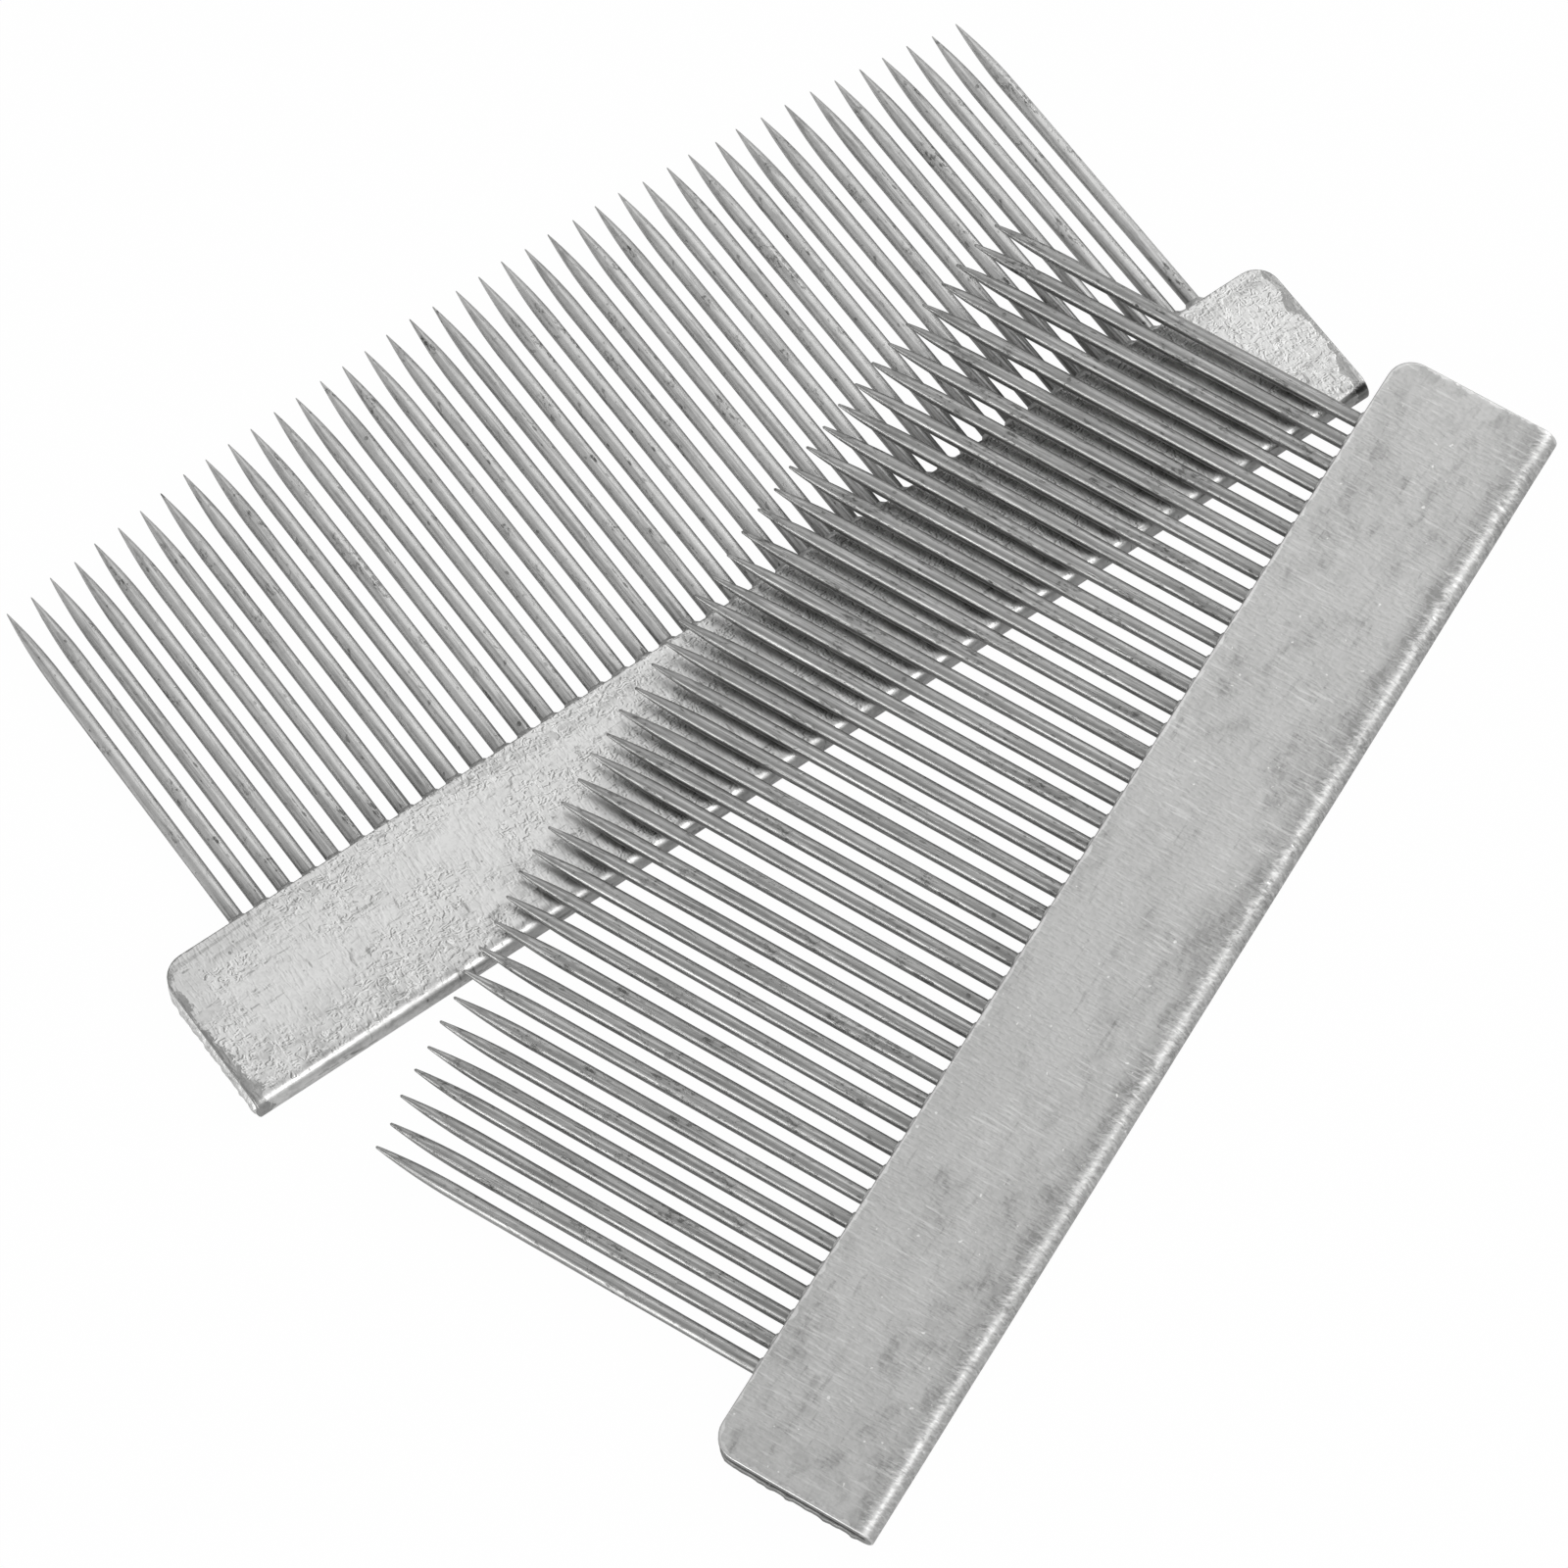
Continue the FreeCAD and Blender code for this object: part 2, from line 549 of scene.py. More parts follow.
@dataclass(frozen=True)
class TinnedSheet(Metal):
    """Mild steel sheet wiped over with molten tin, which stops short of the cut ends.

    The wiping leaves a pale film, crinkled in patches and along the mouth, with dark drags along
    the spine, fine strokes across it, a few cracks and pits, and a ragged edge at both ends.
    Painted shade darkens the crinkles' creases, the sheet towards the fold, the eased edge,
    the cut ends and the inside; painted highlights lighten the crinkles' ridges and the film's
    raised rim.
    """

    light: str = "#F6F6F5"
    steel: str = "#9E9E9D"
    ragged: Marks = Marks((2.2, 2.2, 1.0), 0.0, 1.0, detail=6.0, grit=0.6, seed=1)
    wander: float = 3.6               # mm, how far the film's edge runs in and out
    bare_end: float = 0.35            # mm of bare steel at both ends, as a mean
    crumpled: Marks = Marks((15.0, 7.0, 1.0), 0.43, 0.54, detail=3.0, seed=2)
    broken: Marks = Marks((1.3, 1.0, 1.0), 0.40, 0.52, detail=2.0, seed=3)
    crinkles: Marks = Marks((1.3, 0.95, 1.0), 0.085, 0.030, detail=2.0, warp=1.3, seed=4, vein=True)
    strokes: Marks = Marks((0.46, 1.7, 1.0), 0.50, 0.60, detail=3.0, grit=0.6, warp=0.6, seed=5)
    grain: Marks = Marks((0.50, 0.50, 1.0), 0.47, 0.60, detail=3.0, grit=0.6, seed=6)
    drags: Marks = Marks((13.0, 1.0, 1.0), 0.58, 0.64, detail=4.0, grit=0.6, warp=0.3, seed=7)
    dashes: Marks = Marks((1.1, 0.5, 1.0), 0.42, 0.58, detail=2.0, seed=8)
    cuts: Marks = Marks((1.0, 5.0, 1.0), 0.68, 0.71, detail=2.0, turn=6.0, seed=9)
    blotches: Marks = Marks((4.0, 2.2, 1.0), 0.44, 0.64, detail=6.0, grit=0.62, seed=10)
    cracks: Marks = Marks((9.0, 6.5, 1.0), 0.014, 0.006, detail=3.0, grit=0.5, seed=11, vein=True)
    crazed: Marks = Marks((24.0, 14.0, 1.0), 0.50, 0.56, detail=1.0, seed=12)
    pits: Marks = Marks((1.1, 1.1, 1.0), 0.71, 0.75, detail=1.0, seed=13)
    worn: Marks = Marks((7.0, 3.0, 1.0), 0.35, 0.70, detail=5.0, seed=14)
    tide: Marks = Marks((30.0, 2.6, 1.0), 0.060, 0.025, detail=3.0, seed=15, vein=True)

    def coated(
        self, tree: bpy.types.NodeTree, place: bpy.types.NodeSocket, sizes: CombSizes
    ) -> bpy.types.NodeSocket:
        """Work out how far inside the film's ragged edge each place is.

        Args:
            tree: The material's tree.
            place: The sheet's own coordinates, in mm.
            sizes: The comb's sizes.

        Returns:
            Distance from the film's edge, in mm; less than 0 on the bare steel.
        """
        x = add_node(tree, "ShaderNodeSeparateXYZ", place)
        away = self.off_fold(tree, place, sizes)
        out = add_node(tree, "ShaderNodeMath", x, operation="ABSOLUTE")
        middle = sizes.right_end - self.wander / 2 - self.bare_end
        inside = add_node(tree, "ShaderNodeMath", middle, out, operation="SUBTRACT")
        # The bare strip starts a few millimetres from the mouth and is widest at the fold.
        strip = Zone(sizes.flat_run - 1.0, sizes.flat_run - 8.0).lay(tree, away)
        corner = Zone(5.0, -1.0).lay(tree, away)
        right = Zone(-10.0, 10.0).lay(tree, x)
        layers = [
            (self.ragged.lay(tree, place), self.wander), (strip, -0.35), (corner, -0.8),
            (right, -0.45),
        ]
        return add_up(tree, layers, inside)

    def material(self, sizes: CombSizes) -> bpy.types.Material:
        """Make the finish.

        Args:
            sizes: The comb's sizes, for where its ends and fold are.

        Returns:
            The material.
        """
        made, tree = self.begin()
        place = add_node(tree, "ShaderNodeAttribute", attribute_name=SHEET, output="Vector")
        edge = add_node(tree, "ShaderNodeAttribute", attribute_name=EDGE, output="Fac")
        away = self.off_fold(tree, place, sizes)
        in_mouth = add_node(tree, "ShaderNodeMath", sizes.flat_run, away, operation="SUBTRACT")
        inside = self.coated(tree, place, sizes)
        film = Zone(-0.02, 0.14).lay(tree, inside)
        # lip: a painted highlight, lighter along the raised rim of the film's edge.
        lip = add_node(tree, "ShaderNodeMath", film, 0.5, operation="PINGPONG")
        mouth = Zone(5.5, 2.6).lay(tree, in_mouth)
        # fold also darkens the sheet towards the fold and round it: painted shade, where the sheet
        # turns from the light.
        fold = Zone(8.0, 1.5).lay(tree, away)
        face = Zone(-1.4, -0.4).lay(tree, away)
        ends = Zone(7.0, 2.0).lay(tree, inside)

        zone = add_node(
            tree, "ShaderNodeMath", mouth, self.crumpled.lay(tree, place), operation="MAXIMUM"
        )
        zone = add_node(tree, "ShaderNodeMath", zone, ends, operation="MAXIMUM")
        # Round the left corner of the mouth the wiping left a smooth margin.
        x = add_node(tree, "ShaderNodeSeparateXYZ", place)
        margin = add_node(
            tree,
            "ShaderNodeMath",
            Zone(4.6, 3.0).lay(tree, edge),
            Zone(-66.0, -71.0).lay(tree, x),
            operation="MULTIPLY",
        )
        margin = add_node(
            tree,
            "ShaderNodeMath",
            margin,
            Zone(11.0, 8.0).lay(tree, in_mouth),
            operation="MULTIPLY",
        )
        zone = add_node(tree, "ShaderNodeMath", zone, margin, operation="SUBTRACT", use_clamp=True)
        zone = add_node(tree, "ShaderNodeMath", zone, face, operation="MULTIPLY")
        broken = self.broken.lay(tree, place, zone)
        # The crinkles' darkness is painted shade in their creases; a lighter copy set beside each
        # paints the highlight on its ridge.
        crinkles = self.crinkles.lay(tree, place, broken)
        lit_crinkle_ridges = replace(self.crinkles, nudge=0.15).lay(tree, place, broken)
        strokes = self.strokes.lay(tree, place, face)
        glints = replace(self.strokes, nudge=0.16).lay(tree, place, face)
        grain = self.grain.lay(tree, place)
        drags = self.drags.lay(tree, place, self.dashes.lay(tree, place))
        cuts = self.cuts.lay(tree, place)
        blotches = self.blotches.lay(tree, place, fold)
        crazed = self.crazed.lay(tree, place, Zone(9.0, 6.0).lay(tree, in_mouth))
        cracks = self.cracks.lay(tree, place, crazed)
        tide = self.tide.lay(tree, place, Zone(3.6, 2.4).lay(tree, in_mouth))
        pits = self.pits.lay(tree, place)
        # Painted shade: rim darkens the eased edge, and cut darkens the cut ends and the sheet's
        # inside.
        rim = Zone(0.24, 0.06).lay(tree, edge)
        cut = Zone(-0.1, -0.3).lay(tree, edge)

        darker = add_up(
            tree,
            [
                (crinkles, 0.95), (strokes, 0.26), (grain, 0.13), (drags, 0.62), (cuts, 0.6),
                (blotches, 0.4), (fold, 0.08), (cracks, 0.7), (tide, 0.35), (pits, 0.6),
                (rim, 0.45), (margin, 0.16), (cut, 0.3),
            ],
        )
        lighter = add_up(tree, [(lit_crinkle_ridges, 0.55), (glints, 0.30), (lip, 0.8)])
        tinned = self.tint(tree, darker, lighter)
        bare = add_up(tree, [(grain, 0.60), (strokes, 0.55), (rim, 0.3)])
        steel = replace(self, colour=self.steel, light=self.colour).tint(
            tree, bare, add_up(tree, [(glints, 0.35)])
        )
        feeds = {COLOUR_A: steel, COLOUR_B: tinned}
        colour = add_node(
            tree, "ShaderNodeMix", film, feeds=feeds, data_type="RGBA", output=COLOUR
        )
        duller = add_up(tree, [(self.worn.lay(tree, place), 0.10), (fold, -0.05), (film, 0.02)])
        layers = [
            (crinkles, -0.7), (lit_crinkle_ridges, 0.25), (strokes, -0.18), (grain, -0.1), (cracks, -0.6),
            (tide, -0.5), (pits, -0.9),
        ]
        relief = add_up(tree, layers, film)
        self.close(tree, colour, duller, relief, depth=0.02)
        return made


@dataclass(frozen=True)
class SatinSheet(Metal):
    """Bare mild steel sheet, rubbed across the spine with fine abrasive and then handled.

    The rubbing leaves short bright scratches across the spine, coarser here than the abrasive's
    grit so that they show; handling leaves duller clouds and bright edges. The sheet is rougher
    by the fold; a darker band just short of it, the cut ends and the inside are painted shade, and
    the fold is darker towards its right end.
    """

    light: str = "#E8E8E7"
    roughness: float = 0.33
    brushed: Marks = Marks((0.44, 1.7, 1.0), 0.48, 0.60, detail=3.0, grit=0.6, seed=21)
    rubbed: Marks = Marks((13.0, 7.0, 1.0), 0.42, 0.54, detail=3.0, seed=22)
    scratches: Marks = Marks((0.42, 5.5, 1.0), 0.57, 0.64, detail=3.0, grit=0.55, seed=23)
    grain: Marks = Marks((0.55, 0.55, 1.0), 0.47, 0.60, detail=3.0, grit=0.6, seed=24)
    clouds: Marks = Marks((12.0, 6.0, 1.0), 0.46, 0.60, detail=7.0, grit=0.6, seed=25)
    smears: Marks = Marks((3.4, 2.4, 1.0), 0.50, 0.62, detail=6.0, grit=0.62, seed=26)
    drags: Marks = Marks((12.0, 1.3, 1.0), 0.61, 0.67, detail=4.0, grit=0.6, seed=27)
    dashes: Marks = Marks((1.0, 0.5, 1.0), 0.42, 0.58, detail=2.0, seed=28)
    ticks: Marks = Marks((0.40, 1.0, 1.0), 0.50, 0.62, detail=3.0, grit=0.6, turn=-30.0, seed=29)
    specks: Marks = Marks((0.9, 0.9, 1.0), 0.74, 0.78, detail=1.0, seed=30)
    tarnish: Marks = Marks((22.0, 4.0, 1.0), 0.36, 0.64, detail=5.0, grit=0.55, seed=31)
    frayed: Marks = Marks((1.6, 1.0, 1.0), 0.0, 1.0, detail=5.0, seed=32)

    def material(self, sizes: CombSizes) -> bpy.types.Material:
        """Make the finish.

        Args:
            sizes: The comb's sizes, for where its ends and fold are.

        Returns:
            The material.
        """
        made, tree = self.begin()
        place = add_node(tree, "ShaderNodeAttribute", attribute_name=SHEET, output="Vector")
        edge = add_node(tree, "ShaderNodeAttribute", attribute_name=EDGE, output="Fac")
        x = add_node(tree, "ShaderNodeSeparateXYZ", place)
        away = self.off_fold(tree, place, sizes)
        out = add_node(tree, "ShaderNodeMath", x, operation="ABSOLUTE")
        ends = Zone(sizes.right_end - 9.0, sizes.right_end - 1.0).lay(tree, out)
        fold = Zone(6.0, 0.6).lay(tree, away)
        bent = Zone(0.8, -0.2).lay(tree, away)
        # band darkens the face just short of the fold: painted shade, where the sheet starts to
        # turn from the light.
        band = Zone(2.4, 0.8).lay(tree, away)
        after = Zone(-0.8, 0.2).lay(tree, away)
        clouds = self.clouds.lay(tree, place)
        soiled = add_node(tree, "ShaderNodeMath", fold, ends, operation="MAXIMUM")
        soiled = add_node(tree, "ShaderNodeMath", soiled, clouds, operation="MAXIMUM")
        # Darker along the fold towards its right end, which dims the fold's highlight there.
        fold_darker_rightwards = add_node(
            tree, "ShaderNodeMath", fold, Zone(-20.0, 15.0).lay(tree, x), operation="MULTIPLY"
        )

        frayed = add_up(tree, [(edge, -1.0), (self.frayed.lay(tree, place), 1.0)], -0.12)
        outside = Zone(-0.3, -0.1).lay(tree, edge)
        worn = add_node(
            tree,
            "ShaderNodeMath",
            Zone(-0.1, 0.08).lay(tree, frayed),
            outside,
            operation="MULTIPLY",
        )
        # cut darkens the cut ends and the sheet's inside: painted shade.
        cut = Zone(-0.1, -0.3).lay(tree, edge)
        calm = add_node(tree, "ShaderNodeMath", ends, -0.6, 1.0, operation="MULTIPLY_ADD")
        brushed = self.brushed.lay(tree, place, calm)
        glints = replace(self.brushed, nudge=0.17).lay(tree, place, calm)
        scratches = self.scratches.lay(tree, place, self.rubbed.lay(tree, place))
        grain = self.grain.lay(tree, place)
        smears = self.smears.lay(tree, place, soiled)
        drags = self.drags.lay(tree, place, self.dashes.lay(tree, place))
        ticks = self.ticks.lay(tree, place, bent)
        tick_glints = replace(self.ticks, nudge=0.2, seed=33).lay(tree, place, bent)
        specks = self.specks.lay(tree, place)
        tarnish = self.tarnish.lay(tree, place)
        band = add_node(tree, "ShaderNodeMath", band, after, operation="MULTIPLY")

        darker = add_up(
            tree,
            [
                (brushed, 0.27), (grain, 0.14), (clouds, 0.17), (smears, 0.34), (drags, 0.36),
                (band, 0.36), (ticks, 0.30), (tarnish, 0.10), (fold_darker_rightwards, 0.10), (cut, 0.75),
            ],
        )
        lighter = add_up(
            tree,
            [(glints, 0.16), (scratches, 0.24), (tick_glints, 0.3), (specks, 0.6), (worn, 0.4)],
        )
        duller = add_up(
            tree,
            [
                (cut, 0.16), (clouds, 0.04), (smears, 0.05), (tarnish, 0.1), (ticks, 0.06),
                (fold, 0.06),
            ],
        )
        relief = add_up(
            tree,
            [
                (brushed, -0.22), (scratches, 0.12), (ticks, -0.35), (tick_glints, 0.25),
                (grain, -0.12),
            ],
        )
        self.close(tree, self.tint(tree, darker, lighter), duller, relief, depth=0.02)
        return made


@dataclass(frozen=True)
class SoftSolder(Metal):
    """Tin-lead solder, left as it froze: dull and pale, with a fine orange-peel skin."""

    colour: str = "#CECECD"
    roughness: float = 0.40
    grain: Marks = Marks((0.5, 0.5, 0.5), 0.42, 0.64, detail=4.0, grit=0.6, seed=41)
    dross: Marks = Marks((1.7, 1.7, 1.7), 0.54, 0.66, detail=4.0, grit=0.6, seed=42)
    dross_dark: float = 0.65

    def material(self, sizes: CombSizes) -> bpy.types.Material:
        """Make the finish.

        Args:
            sizes: The comb's sizes; not used, as this finish is the same all over.

        Returns:
            The material.
        """
        made, tree = self.begin()
        place = add_node(tree, "ShaderNodeAttribute", attribute_name=PLACE, output="Vector")
        grain = self.grain.lay(tree, place)
        dross = self.dross.lay(tree, place)
        darker = add_up(tree, [(grain, 0.30), (dross, self.dross_dark)])
        # A lighter copy of the grain, set aside, paints a highlight beside each pit.
        lighter = add_up(tree, [(replace(self.grain, nudge=0.2).lay(tree, place), 0.3)])
        duller = add_up(tree, [(dross, 0.12)])
        relief = add_up(tree, [(grain, -0.6), (dross, -0.4)])
        self.close(tree, self.tint(tree, darker, lighter), duller, relief, depth=0.05)
        return made


# --------------------------------------------------------------------------------------------
# Pieces of one comb
# --------------------------------------------------------------------------------------------


def new_piece(name: str, points: Any = (), faces: Any = ()) -> bpy.types.Object:
    """Put a new mesh into the scene as a piece of its own, at the origin.

    Args:
        name: The piece's name.
        points: Its vertices, in metres.
        faces: The vertex numbers of each face.

    Returns:
        The piece.
    """
    mesh = bpy.data.meshes.new(name)
    mesh.from_pydata(points, [], faces)
    piece = bpy.data.objects.new(name, mesh)
    bpy.context.scene.collection.objects.link(piece)
    return piece


def rim_of(grid: np.ndarray) -> np.ndarray:
    """What lies along a grid's four sides, once round from its first corner."""
    return np.concatenate([grid[0], grid[1:, -1], grid[-1, -2::-1], grid[-2:0:-1, 0]])


def shell_faces(grid: np.ndarray, between: int) -> list[list[int]]:
    """Set out the faces of a closed shell: a grid, loops round its rim, and the grid again.

    Args:
        grid: The vertex numbers of the outer grid, rows by columns.
        between: How many loops lie between the two grids.

    Returns:
        The vertex numbers of each face, facing outwards.
    """
    rim = rim_of(grid)
    inner = grid.size + between * len(rim)
    quads = np.stack([grid[:-1, :-1], grid[1:, :-1], grid[1:, 1:], grid[:-1, 1:]], -1)
    faces = np.stack([quads, inner + quads[..., ::-1]], 2).reshape(-1, 4).tolist()
    starts = range(grid.size, inner, len(rim))
    loops = [rim, *(start + np.arange(len(rim)) for start in starts), inner + rim]
    for outer, deeper in zip(loops, loops[1:]):
        faces += np.stack([outer, np.roll(outer, -1), np.roll(deeper, -1), deeper], -1).tolist()
    return faces


def new_shell(
    name: str,
    points: np.ndarray,
    faces: list[list[int]],
    attributes: Mapping[str, np.ndarray],
    finish: bpy.types.Material,
) -> bpy.types.Object:
    """Put a smooth closed shell into the scene.

    Args:
        name: The piece's name.
        points: Its vertices, in mm.
        faces: The vertex numbers of each face.
        attributes: By name, one number or one vector for each vertex.
        finish: Its material.

    Returns:
        The piece.
    """
    piece = new_piece(name, (points * MM).tolist(), faces)
    mesh = piece.data
    for label, values in attributes.items():
        kind, field = ("FLOAT_VECTOR", "vector") if values.ndim == 2 else ("FLOAT", "value")
        made = mesh.attributes.new(label, kind, "POINT")
        made.data.foreach_set(field, values.astype(np.float32).ravel())
    mesh.shade_smooth()
    mesh.materials.append(finish)
    return piece


def grow(piece: bpy.types.Object, tree: bpy.types.NodeTree, values: Mapping[str, Any]) -> None:
    """Run a Geometry Nodes tree on a piece and keep the result as its plain mesh.

    Args:
        piece: The piece; its own mesh is what the tree starts from.
        tree: The Geometry Nodes tree.
        values: What the tree's named inputs get.
    """
    modifier = piece.modifiers.new(tree.name, "NODES")
    modifier.node_group = tree
    sockets = {
        item.name: item.identifier for item in tree.interface.items_tree if item.in_out == "INPUT"
    }
    for name, value in values.items():
        modifier[sockets[name]] = value
    graph = bpy.context.evaluated_depsgraph_get()
    made = bpy.data.meshes.new_from_object(
        piece.evaluated_get(graph), preserve_all_data_layers=True, depsgraph=graph
    )
    for name in SCRATCH:
        if name in made.attributes:
            made.attributes.remove(made.attributes[name])
    piece.modifiers.clear()
    piece.data = made


def new_tree(name: str, values: Mapping[str, Any]) -> tuple[bpy.types.NodeTree, Any]:
    """Start a Geometry Nodes tree with a named input for each value.

    Args:
        name: The tree's name.
        values: What the inputs will be set to, by name, which gives each one's kind.

    Returns:
        The tree and its inputs' sockets, by name.
    """
    tree = bpy.data.node_groups.new(name, "GeometryNodeTree")
    tree.interface.new_socket("Geometry", in_out="INPUT", socket_type="NodeSocketGeometry")
    for label, value in values.items():
        tree.interface.new_socket(label, in_out="INPUT", socket_type=SOCKETS[type(value)])
    tree.interface.new_socket("Geometry", in_out="OUTPUT", socket_type="NodeSocketGeometry")
    return tree, tree.nodes.new("NodeGroupInput").outputs


@dataclass
class FoldedSpine:
    """The spine: one sheet folded over along the back, with rounded corners at the mouth."""

    name: str
    sizes: CombSizes
    finish: Metal
    column_step: float = 0.62         # mm between grid points along the spine
    row_step: float = 0.42            # mm between grid points across the sheet
    corner_points: int = 9
    fold_points: int = 25
    fold_clearance: float = 0.2       # mm between the last row on the flat and the fold's first
    edge_round: float = 0.20          # mm, how much the cut edges are eased
    edge_steps: int = 3               # rings of points in each eased edge
    swell: float = 0.035              # mm, unevenness of the faces
    waves: tuple[float, float, float] = (11.0, 7.0, 7.0)  # mm from one swell to the next
    set_back: float = 0.0             # mm, what the lower leaf is short of at its left end
    burr: float = 0.0                 # mm, how far burrs stand out at the lower leaf's left end
    burr_width: float = 1.25          # mm from one burr to the next
    burr_more: float = 0.05           # how much more than half of that end they take up
    burr_line: float = 7.1            # where in the noise their pattern is taken
    burr_reach: float = 0.6           # mm of the leaf that moves with them
    burr_from: float = 0.8            # share of the way round the fold where they begin
    seed: float = 0.0

    def rows(self, inset: float) -> tuple[np.ndarray, np.ndarray]:
        """Place the grid's rows across the flat blank, drawn in from its cut edge.

        Args:
            inset: How far the grid's rim is from the cut edge, in mm.

        Returns:
            Each row's distance from the upper mouth edge, and what it is short of at both ends.
        """
        sizes = self.sizes
        radius = sizes.corner_radius
        angles = np.linspace(0, math.pi / 2, self.corner_points)
        corner = radius - (radius - inset) * np.cos(angles)
        corner_short = radius - (radius - inset) * np.sin(angles)
        last = sizes.flat_run - self.fold_clearance
        straight = np.arange(radius + self.row_step, last, self.row_step)
        fold = sizes.flat_run + np.linspace(0, sizes.fold_run, self.fold_points)
        half = np.concatenate([corner, straight])
        across = np.concatenate([half, fold, (sizes.sheet_run - half)[::-1]])
        ends = np.concatenate([corner_short, np.full(len(straight), inset)])
        short = np.concatenate([ends, np.full(len(fold), inset), ends[::-1]])
        return across, short

    def domain(self, inset: float) -> tuple[np.ndarray, np.ndarray]:
        """Every grid point's place on the flat blank.

        Args:
            inset: How far the grid's rim is from the cut edge, in mm.

        Returns:
            Arrays of the distance across the sheet and of X, rows by columns.
        """
        across, short = self.rows(inset)
        columns = np.linspace(0, 1, int(self.sizes.spine_length / self.column_step) + 1)
        lower = np.clip((across - self.sizes.flat_run) / self.sizes.fold_run, 0, 1)
        left = self.sizes.left_end + short + self.set_back * lower
        run = self.sizes.right_end - short - left
        x = left[:, None] + columns[None, :] * run[:, None]
        return np.repeat(across[:, None], x.shape[1], 1), x

    def bend(
        self, across: np.ndarray, x: np.ndarray, depth: float
    ) -> tuple[np.ndarray, np.ndarray]:
        """Bend places on the flat blank round the fold.

        Args:
            across: Distances from the upper mouth edge.
            x: X of the same places.
            depth: How deep they are below the sheet's outside.

        Returns:
            Points and outward directions, one row for each place.
        """
        sizes = self.sizes
        turn = np.clip((across - sizes.flat_run) / sizes.fold_run, 0, 1) * math.pi
        radius = sizes.fold_radius - depth
        flat = np.where(across < sizes.sheet_run / 2, across, sizes.sheet_run - across)
        level = np.clip(sizes.flat_run - flat, 0, None)
        y = sizes.fold_axis_y - radius * np.sin(turn) + level
        z = sizes.fold_radius + radius * np.cos(turn)
        outward = np.stack([np.zeros_like(turn), -np.sin(turn), np.cos(turn)], -1)
        return np.stack([x, y, z], -1), outward

    def edge_distance(self, across: np.ndarray, x: np.ndarray) -> np.ndarray:
        """Measure how far each place lies from the sheet's cut edge.

        Args:
            across: The way across the sheet from its upper edge, in mm.
            x: X, in mm.

        Returns:
            The distance in mm, for each place.
        """
        sizes = self.sizes
        radius = sizes.corner_radius
        side = np.minimum(across, sizes.sheet_run - across)
        end = sizes.right_end - np.abs(x)
        corner = radius - np.hypot(np.clip(radius - side, 0, None), np.clip(radius - end, 0, None))
        return np.where((side < radius) & (end < radius), corner, np.minimum(side, end))

    def uneven(self, points: np.ndarray) -> np.ndarray:
        """Work out the slow, small unevenness of the sheet.

        Args:
            points: Places on the sheet, in mm.

        Returns:
            How far each one stands out, in mm.
        """
        places = points.reshape(-1, 3) / self.waves
        places[:, 2] += self.seed
        values = np.array([noise.noise(Vector(place)) for place in places])
        return values.reshape(points.shape[:-1]) * self.swell

    def burrs(self, across: np.ndarray, x: np.ndarray) -> np.ndarray:
        """Work out how far the cut left end of the lower leaf stands out.

        Args:
            across: The way across the sheet from its upper edge, in mm.
            x: X, in mm.

        Returns:
            The distance in mm, for each place.
        """
        end = x < self.sizes.left_end + self.set_back + self.burr_reach
        lower = across > self.sizes.flat_run + self.sizes.fold_run * self.burr_from
        line = self.burr_line + self.seed
        values = [noise.noise(Vector((a / self.burr_width, line, 0))) for a in across.ravel()]
        teeth = np.clip(np.array(values).reshape(across.shape) + self.burr_more, 0, None)
        return np.where(end & lower, teeth, 0) * self.burr

    def build(self) -> bpy.types.Object:
        """Build the sheet as one closed shell: outside, eased cut edge and inside.

        Returns:
            The piece, in the comb's flat frame, in metres.
        """
        thickness, bevel = self.sizes.sheet_thickness, self.edge_round
        turns = [math.pi / 2 * step / self.edge_steps for step in range(1, self.edge_steps + 1)]
        sides = [(bevel * (1 - math.sin(turn)), bevel * (1 - math.cos(turn))) for turn in turns]
        sides += [(inset, thickness - depth) for inset, depth in reversed(sides)]
        face = self.domain(bevel)
        layers = [(*face, 0.0, bevel)]
        layers += [(*map(rim_of, self.domain(inset)), depth, inset) for inset, depth in sides]
        layers.append((*face, thickness, bevel))

        points, places, edges = [], [], []
        for across, x, depth, inset in layers:
            bent, outward = self.bend(across, x, depth)
            lifted = bent + outward * self.uneven(bent)[..., None]
            if inset < bevel:
                lifted[..., 0] -= self.burrs(across, x)
            distance = self.edge_distance(across, x)
            points.append(lifted.reshape(-1, 3))
            places.append(np.stack([x, across, np.zeros_like(x)], -1).reshape(-1, 3))
            edges.append((distance if depth == 0 else np.full_like(distance, -depth)).ravel())
        faces = shell_faces(np.arange(face[1].size).reshape(face[1].shape), len(sides))
        attributes = {SHEET: np.concatenate(places), EDGE: np.concatenate(edges)}
        finish = self.finish.material(self.sizes)
        return new_shell(self.name, np.concatenate(points), faces, attributes, finish)


